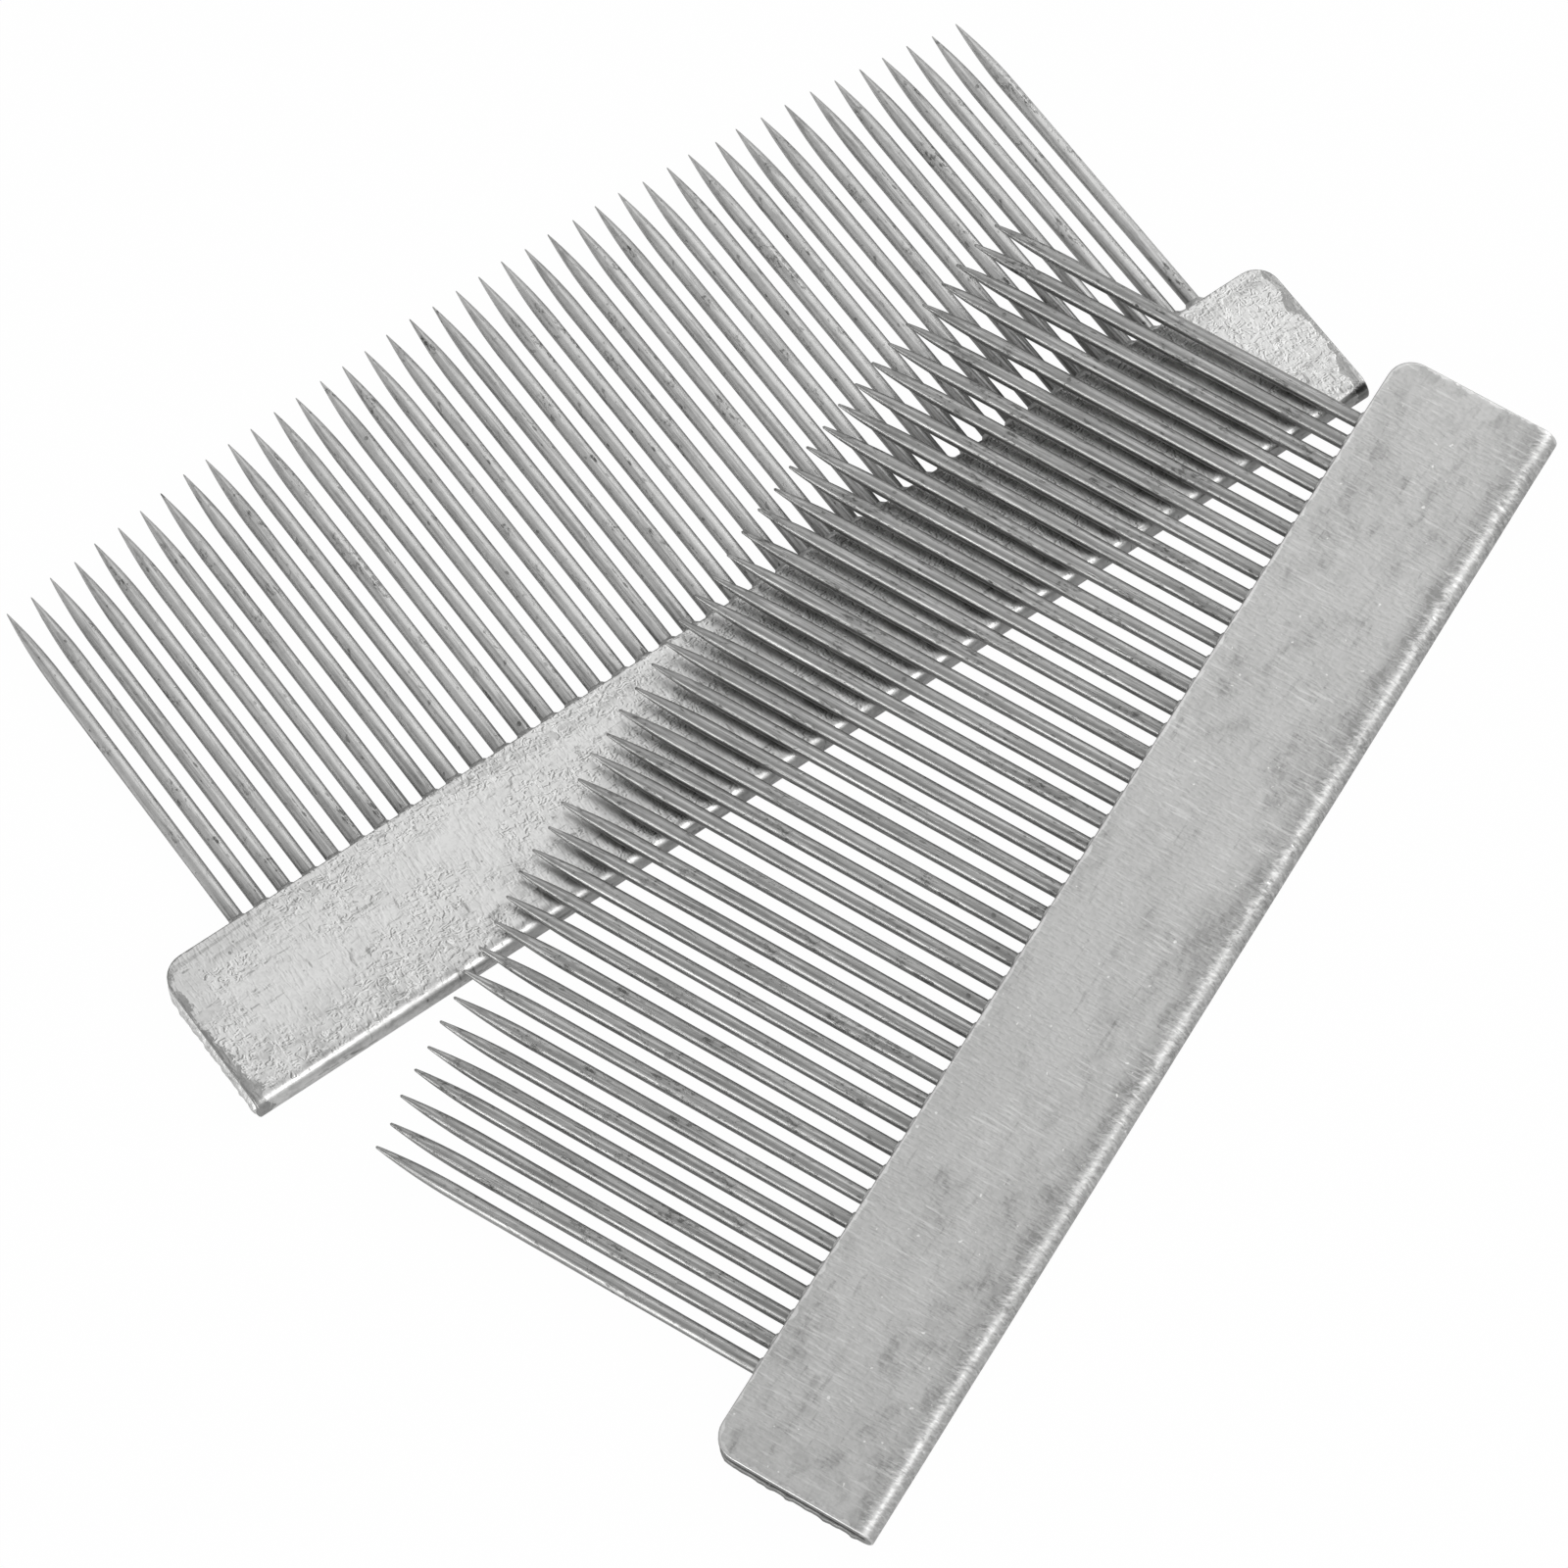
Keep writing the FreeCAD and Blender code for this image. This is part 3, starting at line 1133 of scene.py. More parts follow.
@dataclass
class NeedleRow:
    """The row of needles: one turned needle in code, then the row by Geometry Nodes."""

    name: str
    sizes: CombSizes
    finish: Metal
    sides: int = 22
    shank_rings: int = 36
    point_rings: int = 26
    crowding: float = 1.35            # how much the point's rings crowd towards its end
    least_radius: float = 0.012       # mm, what the blunt end narrows to
    pitch_spread: float = 0.05        # mm either way
    length_spread: float = 0.28       # mm either way
    bow: float = 0.16                 # mm sideways at the tip
    relief: float = 0.022             # mm, small hollows and bumps of the wire
    relief_scale: float = 0.55        # how many of them to a mm
    seed: int = 3

    def outline(self) -> list[tuple[float, float]]:
        """Set out the needle's side, from root to tip.

        Returns:
            For each ring of points its distance along Y and its radius, in mm.
        """
        sizes = self.sizes
        root = sizes.mouth_y - sizes.needle_root
        tip = sizes.mouth_y + sizes.needle_reach
        shoulder = tip - sizes.point_length
        rise = sizes.needle_radius - sizes.point_radius
        arc = (sizes.point_length**2 + rise**2) / (2 * rise)
        shank = np.linspace(root, shoulder, self.shank_rings)
        rings = [(y, sizes.needle_radius) for y in shank]
        for share in np.linspace(0, 1, self.point_rings)[1:]:
            along = sizes.point_length * (1 - (1 - share) ** self.crowding)
            radius = sizes.needle_radius - (arc - math.sqrt(arc**2 - along**2))
            left = max(0.0, sizes.point_length - along)
            if left < sizes.point_radius:
                radius = min(radius, math.sqrt(2 * sizes.point_radius * left))
            rings.append((shoulder + along, max(self.least_radius, radius)))
        return rings

    def one_needle(self) -> tuple[list[Vector], list[list[int]]]:
        """Turn the outline round the needle's axis.

        Returns:
            The points in metres, on the comb's middle plane at X = 0, and the faces.
        """
        outline, middle, sides = self.outline(), self.sizes.fold_radius, self.sides
        turns = [2 * math.pi * side / sides for side in range(sides)]
        points = [
            Vector((radius * math.cos(turn), y, middle + radius * math.sin(turn))) * MM
            for y, radius in outline for turn in turns
        ]
        last = (len(outline) - 1) * sides
        faces = [
            [here + side, here + sides + side, here + sides + after, here + after]
            for here in range(0, last, sides)
            for side, after in zip(range(sides), [*range(1, sides), 0])
        ]
        return points, [*faces, [*range(sides)], [*range(last + sides - 1, last - 1, -1)]]

    def spread(
        self, tree: bpy.types.NodeTree, amount: Any, seed: Any, turn: int
    ) -> bpy.types.NodeSocket:
        """Give each needle a random number of its own.

        Args:
            tree: The tree that it goes into.
            amount: How far the number goes either way from 0.
            seed: The row's seed.
            turn: Which of the needle's random numbers this is.

        Returns:
            The number.
        """
        low = add_node(tree, "ShaderNodeMath", amount, -1.0, operation="MULTIPLY")
        own = add_node(tree, "ShaderNodeMath", seed, float(turn), operation="ADD")
        feeds = {LOW: low, HIGH: amount, SEED: own}
        return add_node(tree, "FunctionNodeRandomValue", feeds=feeds, output=NUMBER)

    def tree(self, values: Mapping[str, Any]) -> bpy.types.NodeTree:
        """Build the tree that sets out the row.

        Args:
            values: What its inputs will be set to, by name.

        Returns:
            The tree; it starts from the mesh of one needle.
        """
        tree, want = new_tree("needle_row", values)

        at = add_node(tree, "GeometryNodeInputPosition")
        level = add_node(tree, "ShaderNodeCombineXYZ", feeds={"Z": want["Axis Z"]})
        local = add_node(tree, "ShaderNodeVectorMath", at, level, operation="SUBTRACT")
        local = add_node(
            tree, "ShaderNodeVectorMath", local, feeds={"Scale": 1 / MM}, operation="SCALE"
        )
        needle = add_node(
            tree,
            "GeometryNodeStoreNamedAttribute",
            feeds={"Geometry": want["Geometry"], "Name": WIRE, "Value": local},
            data_type="FLOAT_VECTOR",
        )

        start = add_node(tree, "ShaderNodeCombineXYZ", feeds={"X": want["First Needle X"]})
        step = add_node(tree, "ShaderNodeCombineXYZ", feeds={"X": want["Pitch"]})
        line = add_node(
            tree,
            "GeometryNodeMeshLine",
            feeds={"Count": want["Needle Count"], "Start Location": start, "Offset": step},
        )
        index = add_node(tree, "GeometryNodeInputIndex")
        last = add_node(tree, "ShaderNodeMath", want["Needle Count"], 1.0, operation="SUBTRACT")
        share = add_node(tree, "ShaderNodeMath", index, last, operation="DIVIDE")
        side = add_node(tree, "ShaderNodeMath", share, 2.0, -1.0, operation="MULTIPLY_ADD")
        square = add_node(tree, "ShaderNodeMath", side, side, operation="MULTIPLY")
        middle = add_node(tree, "ShaderNodeMath", 1.0, square, operation="SUBTRACT")
        crown = add_node(tree, "ShaderNodeMath", middle, want["Row Crown"], operation="MULTIPLY")

        uneven = self.spread(tree, want["Length Spread"], want["Seed"], 1)
        growth = add_node(tree, "ShaderNodeMath", crown, uneven, operation="ADD")
        feeds = {LOW: 0.0, HIGH: 1.0, SEED: want["Seed"]}
        tone = add_node(tree, "FunctionNodeRandomValue", feeds=feeds, output=NUMBER)
        bow = self.spread(tree, want["Bow"], want["Seed"], 2)
        for name, value in ((GROWTH, growth), (BOW, bow), (TONE, tone)):
            line = add_node(
                tree,
                "GeometryNodeStoreNamedAttribute",
                feeds={"Geometry": line, "Name": name, "Value": value},
                data_type="FLOAT",
            )
        astray = self.spread(tree, want["Pitch Spread"], want["Seed"], 3)
        astray = add_node(tree, "ShaderNodeCombineXYZ", feeds={"X": astray})
        line = add_node(tree, "GeometryNodeSetPosition", feeds={"Geometry": line, "Offset": astray})
        row = add_node(
            tree, "GeometryNodeInstanceOnPoints", feeds={"Points": line, "Instance": needle}
        )
        row = add_node(tree, "GeometryNodeRealizeInstances", feeds={"Geometry": row})

        y = add_node(tree, "ShaderNodeSeparateXYZ", at, output="Y")
        pull = add_node(
            tree,
            "ShaderNodeMapRange",
            feeds={"Value": y, "From Min": want["Mouth Y"], "From Max": want["Shoulder Y"]},
        )
        free = add_node(
            tree,
            "ShaderNodeMapRange",
            feeds={"Value": y, "From Min": want["Mouth Y"], "From Max": want["Tip Y"]},
        )
        free = add_node(tree, "ShaderNodeMath", free, free, operation="MULTIPLY")
        grown = add_node(
            tree, "GeometryNodeInputNamedAttribute", feeds={"Name": GROWTH}, data_type="FLOAT"
        )
        bent = add_node(
            tree, "GeometryNodeInputNamedAttribute", feeds={"Name": BOW}, data_type="FLOAT"
        )
        longer = add_node(tree, "ShaderNodeMath", grown, pull, operation="MULTIPLY")
        aside = add_node(tree, "ShaderNodeMath", bent, free, operation="MULTIPLY")
        shaped = add_node(tree, "ShaderNodeCombineXYZ", feeds={"X": aside, "Y": longer})
        row = add_node(tree, "GeometryNodeSetPosition", feeds={"Geometry": row, "Offset": shaped})

        bumps = add_node(
            tree,
            "ShaderNodeTexNoise",
            feeds={
                "Vector": at, "Scale": self.relief_scale / MM, "Detail": 2.0, "Roughness": 0.5
            },
        )
        bumps = add_node(tree, "ShaderNodeMath", bumps, NOISE_MIDDLE, operation="SUBTRACT")
        bumps = add_node(tree, "ShaderNodeMath", bumps, want["Relief"], operation="MULTIPLY")
        facing = add_node(tree, "GeometryNodeInputNormal")
        offset = add_node(
            tree, "ShaderNodeVectorMath", facing, feeds={"Scale": bumps}, operation="SCALE"
        )
        row = add_node(tree, "GeometryNodeSetPosition", feeds={"Geometry": row, "Offset": offset})
        row = add_node(tree, "GeometryNodeSetShadeSmooth", feeds={"Geometry": row})
        row = add_node(
            tree, "GeometryNodeSetMaterial", feeds={"Geometry": row, "Material": want["Wire"]}
        )
        add_node(tree, "NodeGroupOutput", feeds={"Geometry": row})
        return tree

    def build(self) -> bpy.types.Object:
        """Build the whole row.

        Returns:
            The piece, in the comb's flat frame, in metres.
        """
        sizes = self.sizes
        piece = new_piece(self.name, *self.one_needle())
        tip = sizes.mouth_y + sizes.needle_reach
        values = {
            "Needle Count": sizes.needle_count,
            "Pitch": sizes.needle_pitch * MM,
            "First Needle X": sizes.first_needle_x * MM,
            "Axis Z": sizes.fold_radius * MM,
            "Mouth Y": sizes.mouth_y * MM,
            "Shoulder Y": (tip - sizes.point_length) * MM,
            "Tip Y": tip * MM,
            "Row Crown": sizes.needle_crown * MM,
            "Pitch Spread": self.pitch_spread * MM,
            "Length Spread": self.length_spread * MM,
            "Bow": self.bow * MM,
            "Relief": self.relief * MM,
            "Seed": self.seed,
            "Wire": self.finish.material(sizes),
        }
        grow(piece, self.tree(values), values)
        return piece


@dataclass
class SolderSeam:
    """Solder between the sheets: it fills the mouth and climbs a little up every needle."""

    name: str
    sizes: CombSizes
    finish: Metal
    depth: float = 2.5                # mm, from the back of the seam to the mouth
    overrun: float = 3.0              # mm past the axes of the first and last needles
    play: float = 0.04                # mm of the slot's height that it leaves clear
    step: float = 0.22                # mm between points along the row
    rows: int = 4                     # rows of points from its back to its face
    heights: int = 9                  # points from one sheet to the other
    face_band: float = 0.1            # mm behind the mouth within which a point is on the face
    drawn_back: float = 0.05          # mm that the whole face is drawn back
    flare: float = 1.0                # spread of the bead over the sheets' edges; 1 is none
    bulge: float = 0.15               # mm that the bead's middle stands out at the left end
    bulge_right: float = 0.15         # the same at the right end
    rounding: float = 3.6             # how fast its face falls back towards the sheets
    climb: float = 0.5                # mm up each needle
    climb_full: float = 0.2           # mm inside a needle's side up to which it climbs that far
    climb_ends: float = 0.62          # mm outside a needle's side where it has run out
    lumps: float = 0.16               # mm
    lump_scale: float = 0.8           # how many of them to a mm
    lump_gain: float = 2.0            # how far noise from 0 to 1 takes them,
    lump_base: float = -0.9           # and from where
    bare_end: float = 0.8             # mm from each end up to which there is no bead
    whole_end: float = 2.2            # mm from each end where the bead is whole
    seed: int = 5

    def tree(self, values: Mapping[str, Any]) -> bpy.types.NodeTree:
        """Build the tree that makes the seam.

        Args:
            values: What its inputs will be set to, by name.

        Returns:
            The tree; it needs nothing to start from.
        """
        tree, want = new_tree("solder_seam", values)
        size = add_node(
            tree,
            "ShaderNodeCombineXYZ",
            feeds={"X": want["Length"], "Y": want["Depth"], "Z": want["Height"]},
        )
        block = add_node(
            tree,
            "GeometryNodeMeshCube",
            feeds={
                "Size": size,
                "Vertices X": want["Steps"],
                "Vertices Y": self.rows,
                "Vertices Z": self.heights,
            },
        )
        half = add_node(tree, "ShaderNodeMath", want["Depth"], -0.5, operation="MULTIPLY")
        middle_y = add_node(tree, "ShaderNodeMath", want["Mouth Y"], half, operation="ADD")
        middle = add_node(
            tree,
            "ShaderNodeCombineXYZ",
            feeds={"X": want["Middle X"], "Y": middle_y, "Z": want["Axis Z"]},
        )
        block = add_node(
            tree, "GeometryNodeSetPosition", feeds={"Geometry": block, "Offset": middle}
        )

        at = add_node(tree, "GeometryNodeInputPosition")
        x = add_node(tree, "ShaderNodeSeparateXYZ", at, output="X")
        y = add_node(tree, "ShaderNodeSeparateXYZ", at, output="Y")
        z = add_node(tree, "ShaderNodeSeparateXYZ", at, output="Z")
        # The last row of points but one lies in the mouth, and the last is the bead's face.
        inner = add_node(tree, "ShaderNodeMath", y, middle_y, operation="GREATER_THAN")
        row = 1 / (self.rows - 1)
        reach = add_node(tree, "ShaderNodeMath", want["Depth"], row, y, operation="MULTIPLY_ADD")
        lip = add_node(tree, "ShaderNodeMath", reach, want["Mouth Y"], operation="MINIMUM")
        lip = add_node(tree, "ShaderNodeMath", lip, y, operation="SUBTRACT")
        pulled = add_node(tree, "ShaderNodeCombineXYZ", feeds={"Y": lip})
        band = self.face_band * MM
        last = add_node(tree, "ShaderNodeMath", want["Mouth Y"], band, operation="SUBTRACT")
        front = add_node(tree, "ShaderNodeMath", y, last, operation="GREATER_THAN")
        face = add_node(
            tree,
            "GeometryNodeStoreNamedAttribute",
            feeds={"Geometry": block, "Name": BEAD, "Value": front},
            data_type="FLOAT",
        )
        block = add_node(
            tree,
            "GeometryNodeSetPosition",
            feeds={"Geometry": face, "Selection": inner, "Offset": pulled},
        )
        front = add_node(
            tree, "GeometryNodeInputNamedAttribute", feeds={"Name": BEAD}, data_type="FLOAT"
        )

        along = add_node(tree, "ShaderNodeMath", x, want["First Needle X"], operation="SUBTRACT")
        half_pitch = add_node(tree, "ShaderNodeMath", want["Pitch"], 0.5, operation="MULTIPLY")
        beside = add_node(tree, "ShaderNodeMath", along, half_pitch, operation="PINGPONG")
        above = add_node(tree, "ShaderNodeMath", z, want["Axis Z"], operation="SUBTRACT")
        flared = add_node(tree, "ShaderNodeMath", above, want["Flare"], operation="MULTIPLY")
        raised = add_node(tree, "ShaderNodeMath", flared, above, operation="SUBTRACT")
        flat = add_node(tree, "ShaderNodeCombineXYZ", feeds={"X": beside, "Y": flared})
        away = add_node(tree, "ShaderNodeVectorMath", flat, operation="LENGTH", output="Value")
        clear = add_node(tree, "ShaderNodeMath", away, want["Needle Radius"], operation="SUBTRACT")
        climb = add_node(
            tree,
            "ShaderNodeMapRange",
            feeds={
                "Value": clear,
                "From Min": -self.climb_full * MM,
                "From Max": self.climb_ends * MM,
                "To Min": want["Climb"],
                "To Max": 0.0,
            },
            interpolation_type="SMOOTHERSTEP",
        )
        top = add_node(tree, "ShaderNodeMath", above, want["Height"], operation="DIVIDE")
        top = add_node(tree, "ShaderNodeMath", top, top, operation="MULTIPLY")
        round_face = add_node(
            tree, "ShaderNodeMath", top, -self.rounding, 1.0, operation="MULTIPLY_ADD"
        )
        aside = add_node(tree, "ShaderNodeMath", x, want["Middle X"], operation="SUBTRACT")
        share = add_node(tree, "ShaderNodeMath", aside, want["Length"], operation="DIVIDE")
        swell = add_node(
            tree,
            "ShaderNodeMapRange",
            feeds={
                "Value": share,
                "From Min": -0.5,
                "From Max": 0.5,
                "To Min": want["Bulge"],
                "To Max": want["Bulge Right"],
            },
        )
        bulge = add_node(tree, "ShaderNodeMath", round_face, swell, operation="MULTIPLY")
        seeded = add_node(tree, "ShaderNodeCombineXYZ", feeds={"Z": want["Seed"]})
        where = add_node(tree, "ShaderNodeVectorMath", at, seeded, operation="ADD")
        lumps = add_node(
            tree,
            "ShaderNodeTexNoise",
            feeds={
                "Vector": where, "Scale": self.lump_scale / MM, "Detail": 3.0, "Roughness": 0.6
            },
        )
        lumps = add_node(
            tree, "ShaderNodeMath", lumps, self.lump_gain, self.lump_base, operation="MULTIPLY_ADD"
        )
        lumps = add_node(tree, "ShaderNodeMath", lumps, want["Lumps"], operation="MULTIPLY")
        out = add_node(tree, "ShaderNodeMath", climb, lumps, operation="ADD")
        out = add_node(tree, "ShaderNodeMath", out, bulge, operation="ADD")
        beyond = add_node(tree, "ShaderNodeMath", aside, operation="ABSOLUTE")
        past = add_node(
            tree, "ShaderNodeMath", want["Length"], -0.5, beyond, operation="MULTIPLY_ADD"
        )
        fade = add_node(
            tree,
            "ShaderNodeMapRange",
            feeds={
                "Value": past, "From Min": -self.bare_end * MM, "From Max": -self.whole_end * MM
            },
            interpolation_type="SMOOTHSTEP",
        )
        out = add_node(tree, "ShaderNodeMath", out, fade, operation="MULTIPLY")
        raised = add_node(tree, "ShaderNodeMath", raised, fade, operation="MULTIPLY")
        out = add_node(tree, "ShaderNodeMath", out, self.drawn_back * MM, operation="SUBTRACT")
        outward = add_node(tree, "ShaderNodeCombineXYZ", feeds={"Y": out, "Z": raised})
        block = add_node(
            tree,
            "GeometryNodeSetPosition",
            feeds={"Geometry": block, "Selection": front, "Offset": outward},
        )
        kept = add_node(
            tree, "ShaderNodeVectorMath", at, feeds={"Scale": 1 / MM}, operation="SCALE"
        )
        block = add_node(
            tree,
            "GeometryNodeStoreNamedAttribute",
            feeds={"Geometry": block, "Name": PLACE, "Value": kept},
            data_type="FLOAT_VECTOR",
        )
        block = add_node(tree, "GeometryNodeRealizeInstances", feeds={"Geometry": block})
        block = add_node(tree, "GeometryNodeSetShadeSmooth", feeds={"Geometry": block})
        block = add_node(
            tree, "GeometryNodeSetMaterial", feeds={"Geometry": block, "Material": want["Solder"]}
        )
        add_node(tree, "NodeGroupOutput", feeds={"Geometry": block})
        return tree

    def build(self) -> bpy.types.Object:
        """Build the seam.

        Returns:
            The piece, in the comb's flat frame, in metres.
        """
        sizes = self.sizes
        piece = new_piece(self.name)
        length = sizes.row_length + 2 * self.overrun
        values = {
            "Length": length * MM,
            "Depth": self.depth * MM,
            "Height": (sizes.spine_height - 2 * sizes.sheet_thickness - self.play) * MM,
            "Middle X": (sizes.first_needle_x + sizes.row_length / 2) * MM,
            "Mouth Y": sizes.mouth_y * MM,
            "Axis Z": sizes.fold_radius * MM,
            "First Needle X": sizes.first_needle_x * MM,
            "Pitch": sizes.needle_pitch * MM,
            "Needle Radius": sizes.needle_radius * MM,
            "Flare": self.flare,
            "Bulge": self.bulge * MM,
            "Bulge Right": self.bulge_right * MM,
            "Climb": self.climb * MM,
            "Lumps": self.lumps * MM,
            "Seed": float(self.seed),
            "Steps": int(length / self.step),
            "Solder": self.finish.material(sizes),
        }
        grow(piece, self.tree(values), values)
        return piece


@dataclass
class EndPlug:
    """Solder that ran out of the spine's open left end and froze over the lower sheet's edge."""

    name: str
    sizes: CombSizes
    finish: Metal
    depth: float = 3.0                # mm, how far in it goes
    play: float = 0.02                # mm between it and the sheets
    sunk: float = 0.35                # mm, how far its top edge lies behind the upper sheet's end
    bulge: float = 0.30               # mm, how far it stands out over the lower sheet's edge
    cover: float = 0.30               # mm of that edge left bare below it
    lumps: float = 0.26               # mm
    taper: float = 4.5                # mm from the mouth over which it thins out
    lump_size: tuple[float, float] = (0.9, 0.8)  # mm, along Y and Z
    round_fold: float = 0.97          # share of the way out to the fold's inside where it starts
    short: float = 0.5                # mm from the mouth to where it ends
    inset: float = 0.06               # mm from the sheets' ends in to its face, before the rest
    skin: float = 0.3                 # share of half its height over which it swells from below
    belly: float = 0.45               # share of half its height down to where it stands out most
    step: float = 0.25                # mm between points
    layers: int = 12
    seed: float = 17.0

    def sides(self) -> tuple[np.ndarray, np.ndarray]:
        """Set out the plug's outer face and its hidden back.

        Returns:
            Points in mm of each, columns along Y by layers from the lower sheet to the upper one.
        """
        sizes = self.sizes
        inside = sizes.fold_radius - sizes.sheet_thickness - self.play
        outside = sizes.fold_radius - self.cover
        corner_y = sizes.mouth_y - sizes.corner_radius
        start = sizes.fold_axis_y - self.round_fold * inside
        end = sizes.mouth_y - self.short
        y = np.linspace(start, end, int((end - start) / self.step))
        before_axis = np.clip(sizes.fold_axis_y - y, 0, None)
        upper = np.sqrt(inside**2 - before_axis**2)
        lower = np.sqrt(outside**2 - before_axis**2)
        round_in = sizes.corner_radius - np.sqrt(
            sizes.corner_radius ** 2 - np.clip(y - corner_y, 0, None) ** 2
        )
        share = np.linspace(-1, 1, self.layers)
        reach = np.where(share[None, :] < 0, lower[:, None], upper[:, None])
        ys = np.repeat(y[:, None], self.layers, 1)
        z = sizes.fold_radius + reach * share[None, :]
        wide, high = self.lump_size
        bumps = [
            noise.noise(Vector((a / wide, b / high, self.seed)))
            for a, b in zip(ys.ravel(), z.ravel())
        ]
        rough = np.array(bumps).reshape(z.shape) * self.lumps
        skin = np.sqrt(np.clip((1 + share) / self.skin, 0, 1))
        stands = self.bulge * (1 - ((share + self.belly) / (1 + self.belly)) ** 2)
        sunk = self.sunk * np.clip(share, 0, 1) ** 2
        thin = np.clip((end - y) / self.taper, 0, 1)[:, None]
        proud = (skin * stands)[None, :] + rough * (skin * (1 - np.clip(share, 0, 1)))[None, :]
        out = proud * thin - sunk[None, :]
        face = np.stack([sizes.left_end + self.inset + round_in[:, None] - out, ys, z], -1)
        back_x = np.full(z.shape, face[..., 0].max() + self.depth)
        back = np.stack([back_x, ys, sizes.fold_radius + upper[:, None] * share[None, :]], -1)
        return face, back

    def build(self) -> bpy.types.Object:
        """Build the plug as one closed shell.

        Returns:
            The piece, in the comb's flat frame, in metres.
        """
        outer, inner = self.sides()
        points = np.concatenate([outer.reshape(-1, 3), inner.reshape(-1, 3)])
        columns, layers = outer.shape[:2]
        grid = np.arange(columns * layers).reshape(columns, layers).T
        finish = self.finish.material(self.sizes)
        return new_shell(self.name, points, shell_faces(grid, 0), {PLACE: points}, finish)


@dataclass
class Comb:
    """One comb: its spine, its row of needles and its solder."""

    which: CombName
    sizes: CombSizes
    place: Matrix
    spine: FoldedSpine
    needles: NeedleRow
    seam: SolderSeam
    sheet_slot: str
    wire_slot: str
    plug: EndPlug | None = None

    def settle(self, piece: bpy.types.Object, nodes: list[str]) -> None:
        """Lay a piece in its resting place and tie it to the CAD.

        Args:
            piece: The piece, still in the comb's flat frame.
            nodes: The CAD nodes that it stands for.
        """
        piece.data.transform(self.place)
        piece.data.update()
        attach(piece, f"{self.which.value}_comb")
        if nodes:
            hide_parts(*nodes)
        piece.data.calc_loop_triangles()
        log.info(
            "%s: %d triangles, stands for %d nodes",
            piece.name,
            len(piece.data.loop_triangles),
            len(nodes),
        )

    def build(self) -> None:
        """Build every piece of the comb."""
        name = self.which.value
        rows = [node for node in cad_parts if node.startswith(f"{name}_needles")]
        self.settle(self.spine.build(), [f"{name}_spine"])
        self.settle(self.needles.build(), sorted(rows))
        self.settle(self.seam.build(), [f"{name}_solder"])
        if self.plug is not None:
            self.settle(self.plug.build(), [])


# --------------------------------------------------------------------------------------------
# Studio
# --------------------------------------------------------------------------------------------


@dataclass(frozen=True)
class Lamp:
    """A soft rectangular lamp that faces the combs. Sizes in metres, power in watts."""

    name: str
    towards: tuple[float, float, float]
    distance: float
    width: float
    height: float
    power: float

    def build(self, centre: Vector) -> None:
        """Hang the lamp in its direction from the combs.

        Args:
            centre: The middle of the combs, which the lamp faces.
        """
        light = bpy.data.lights.new(self.name, "AREA")
        light.shape = "RECTANGLE"
        light.size, light.size_y = self.width, self.height
        light.energy = self.power
        lamp = bpy.data.objects.new(self.name, light)
        direction = Vector(self.towards).normalized()
        lamp.location = centre + direction * self.distance
        lamp.rotation_euler = direction.to_track_quat("Z", "Y").to_euler()
        bpy.context.scene.collection.objects.link(lamp)


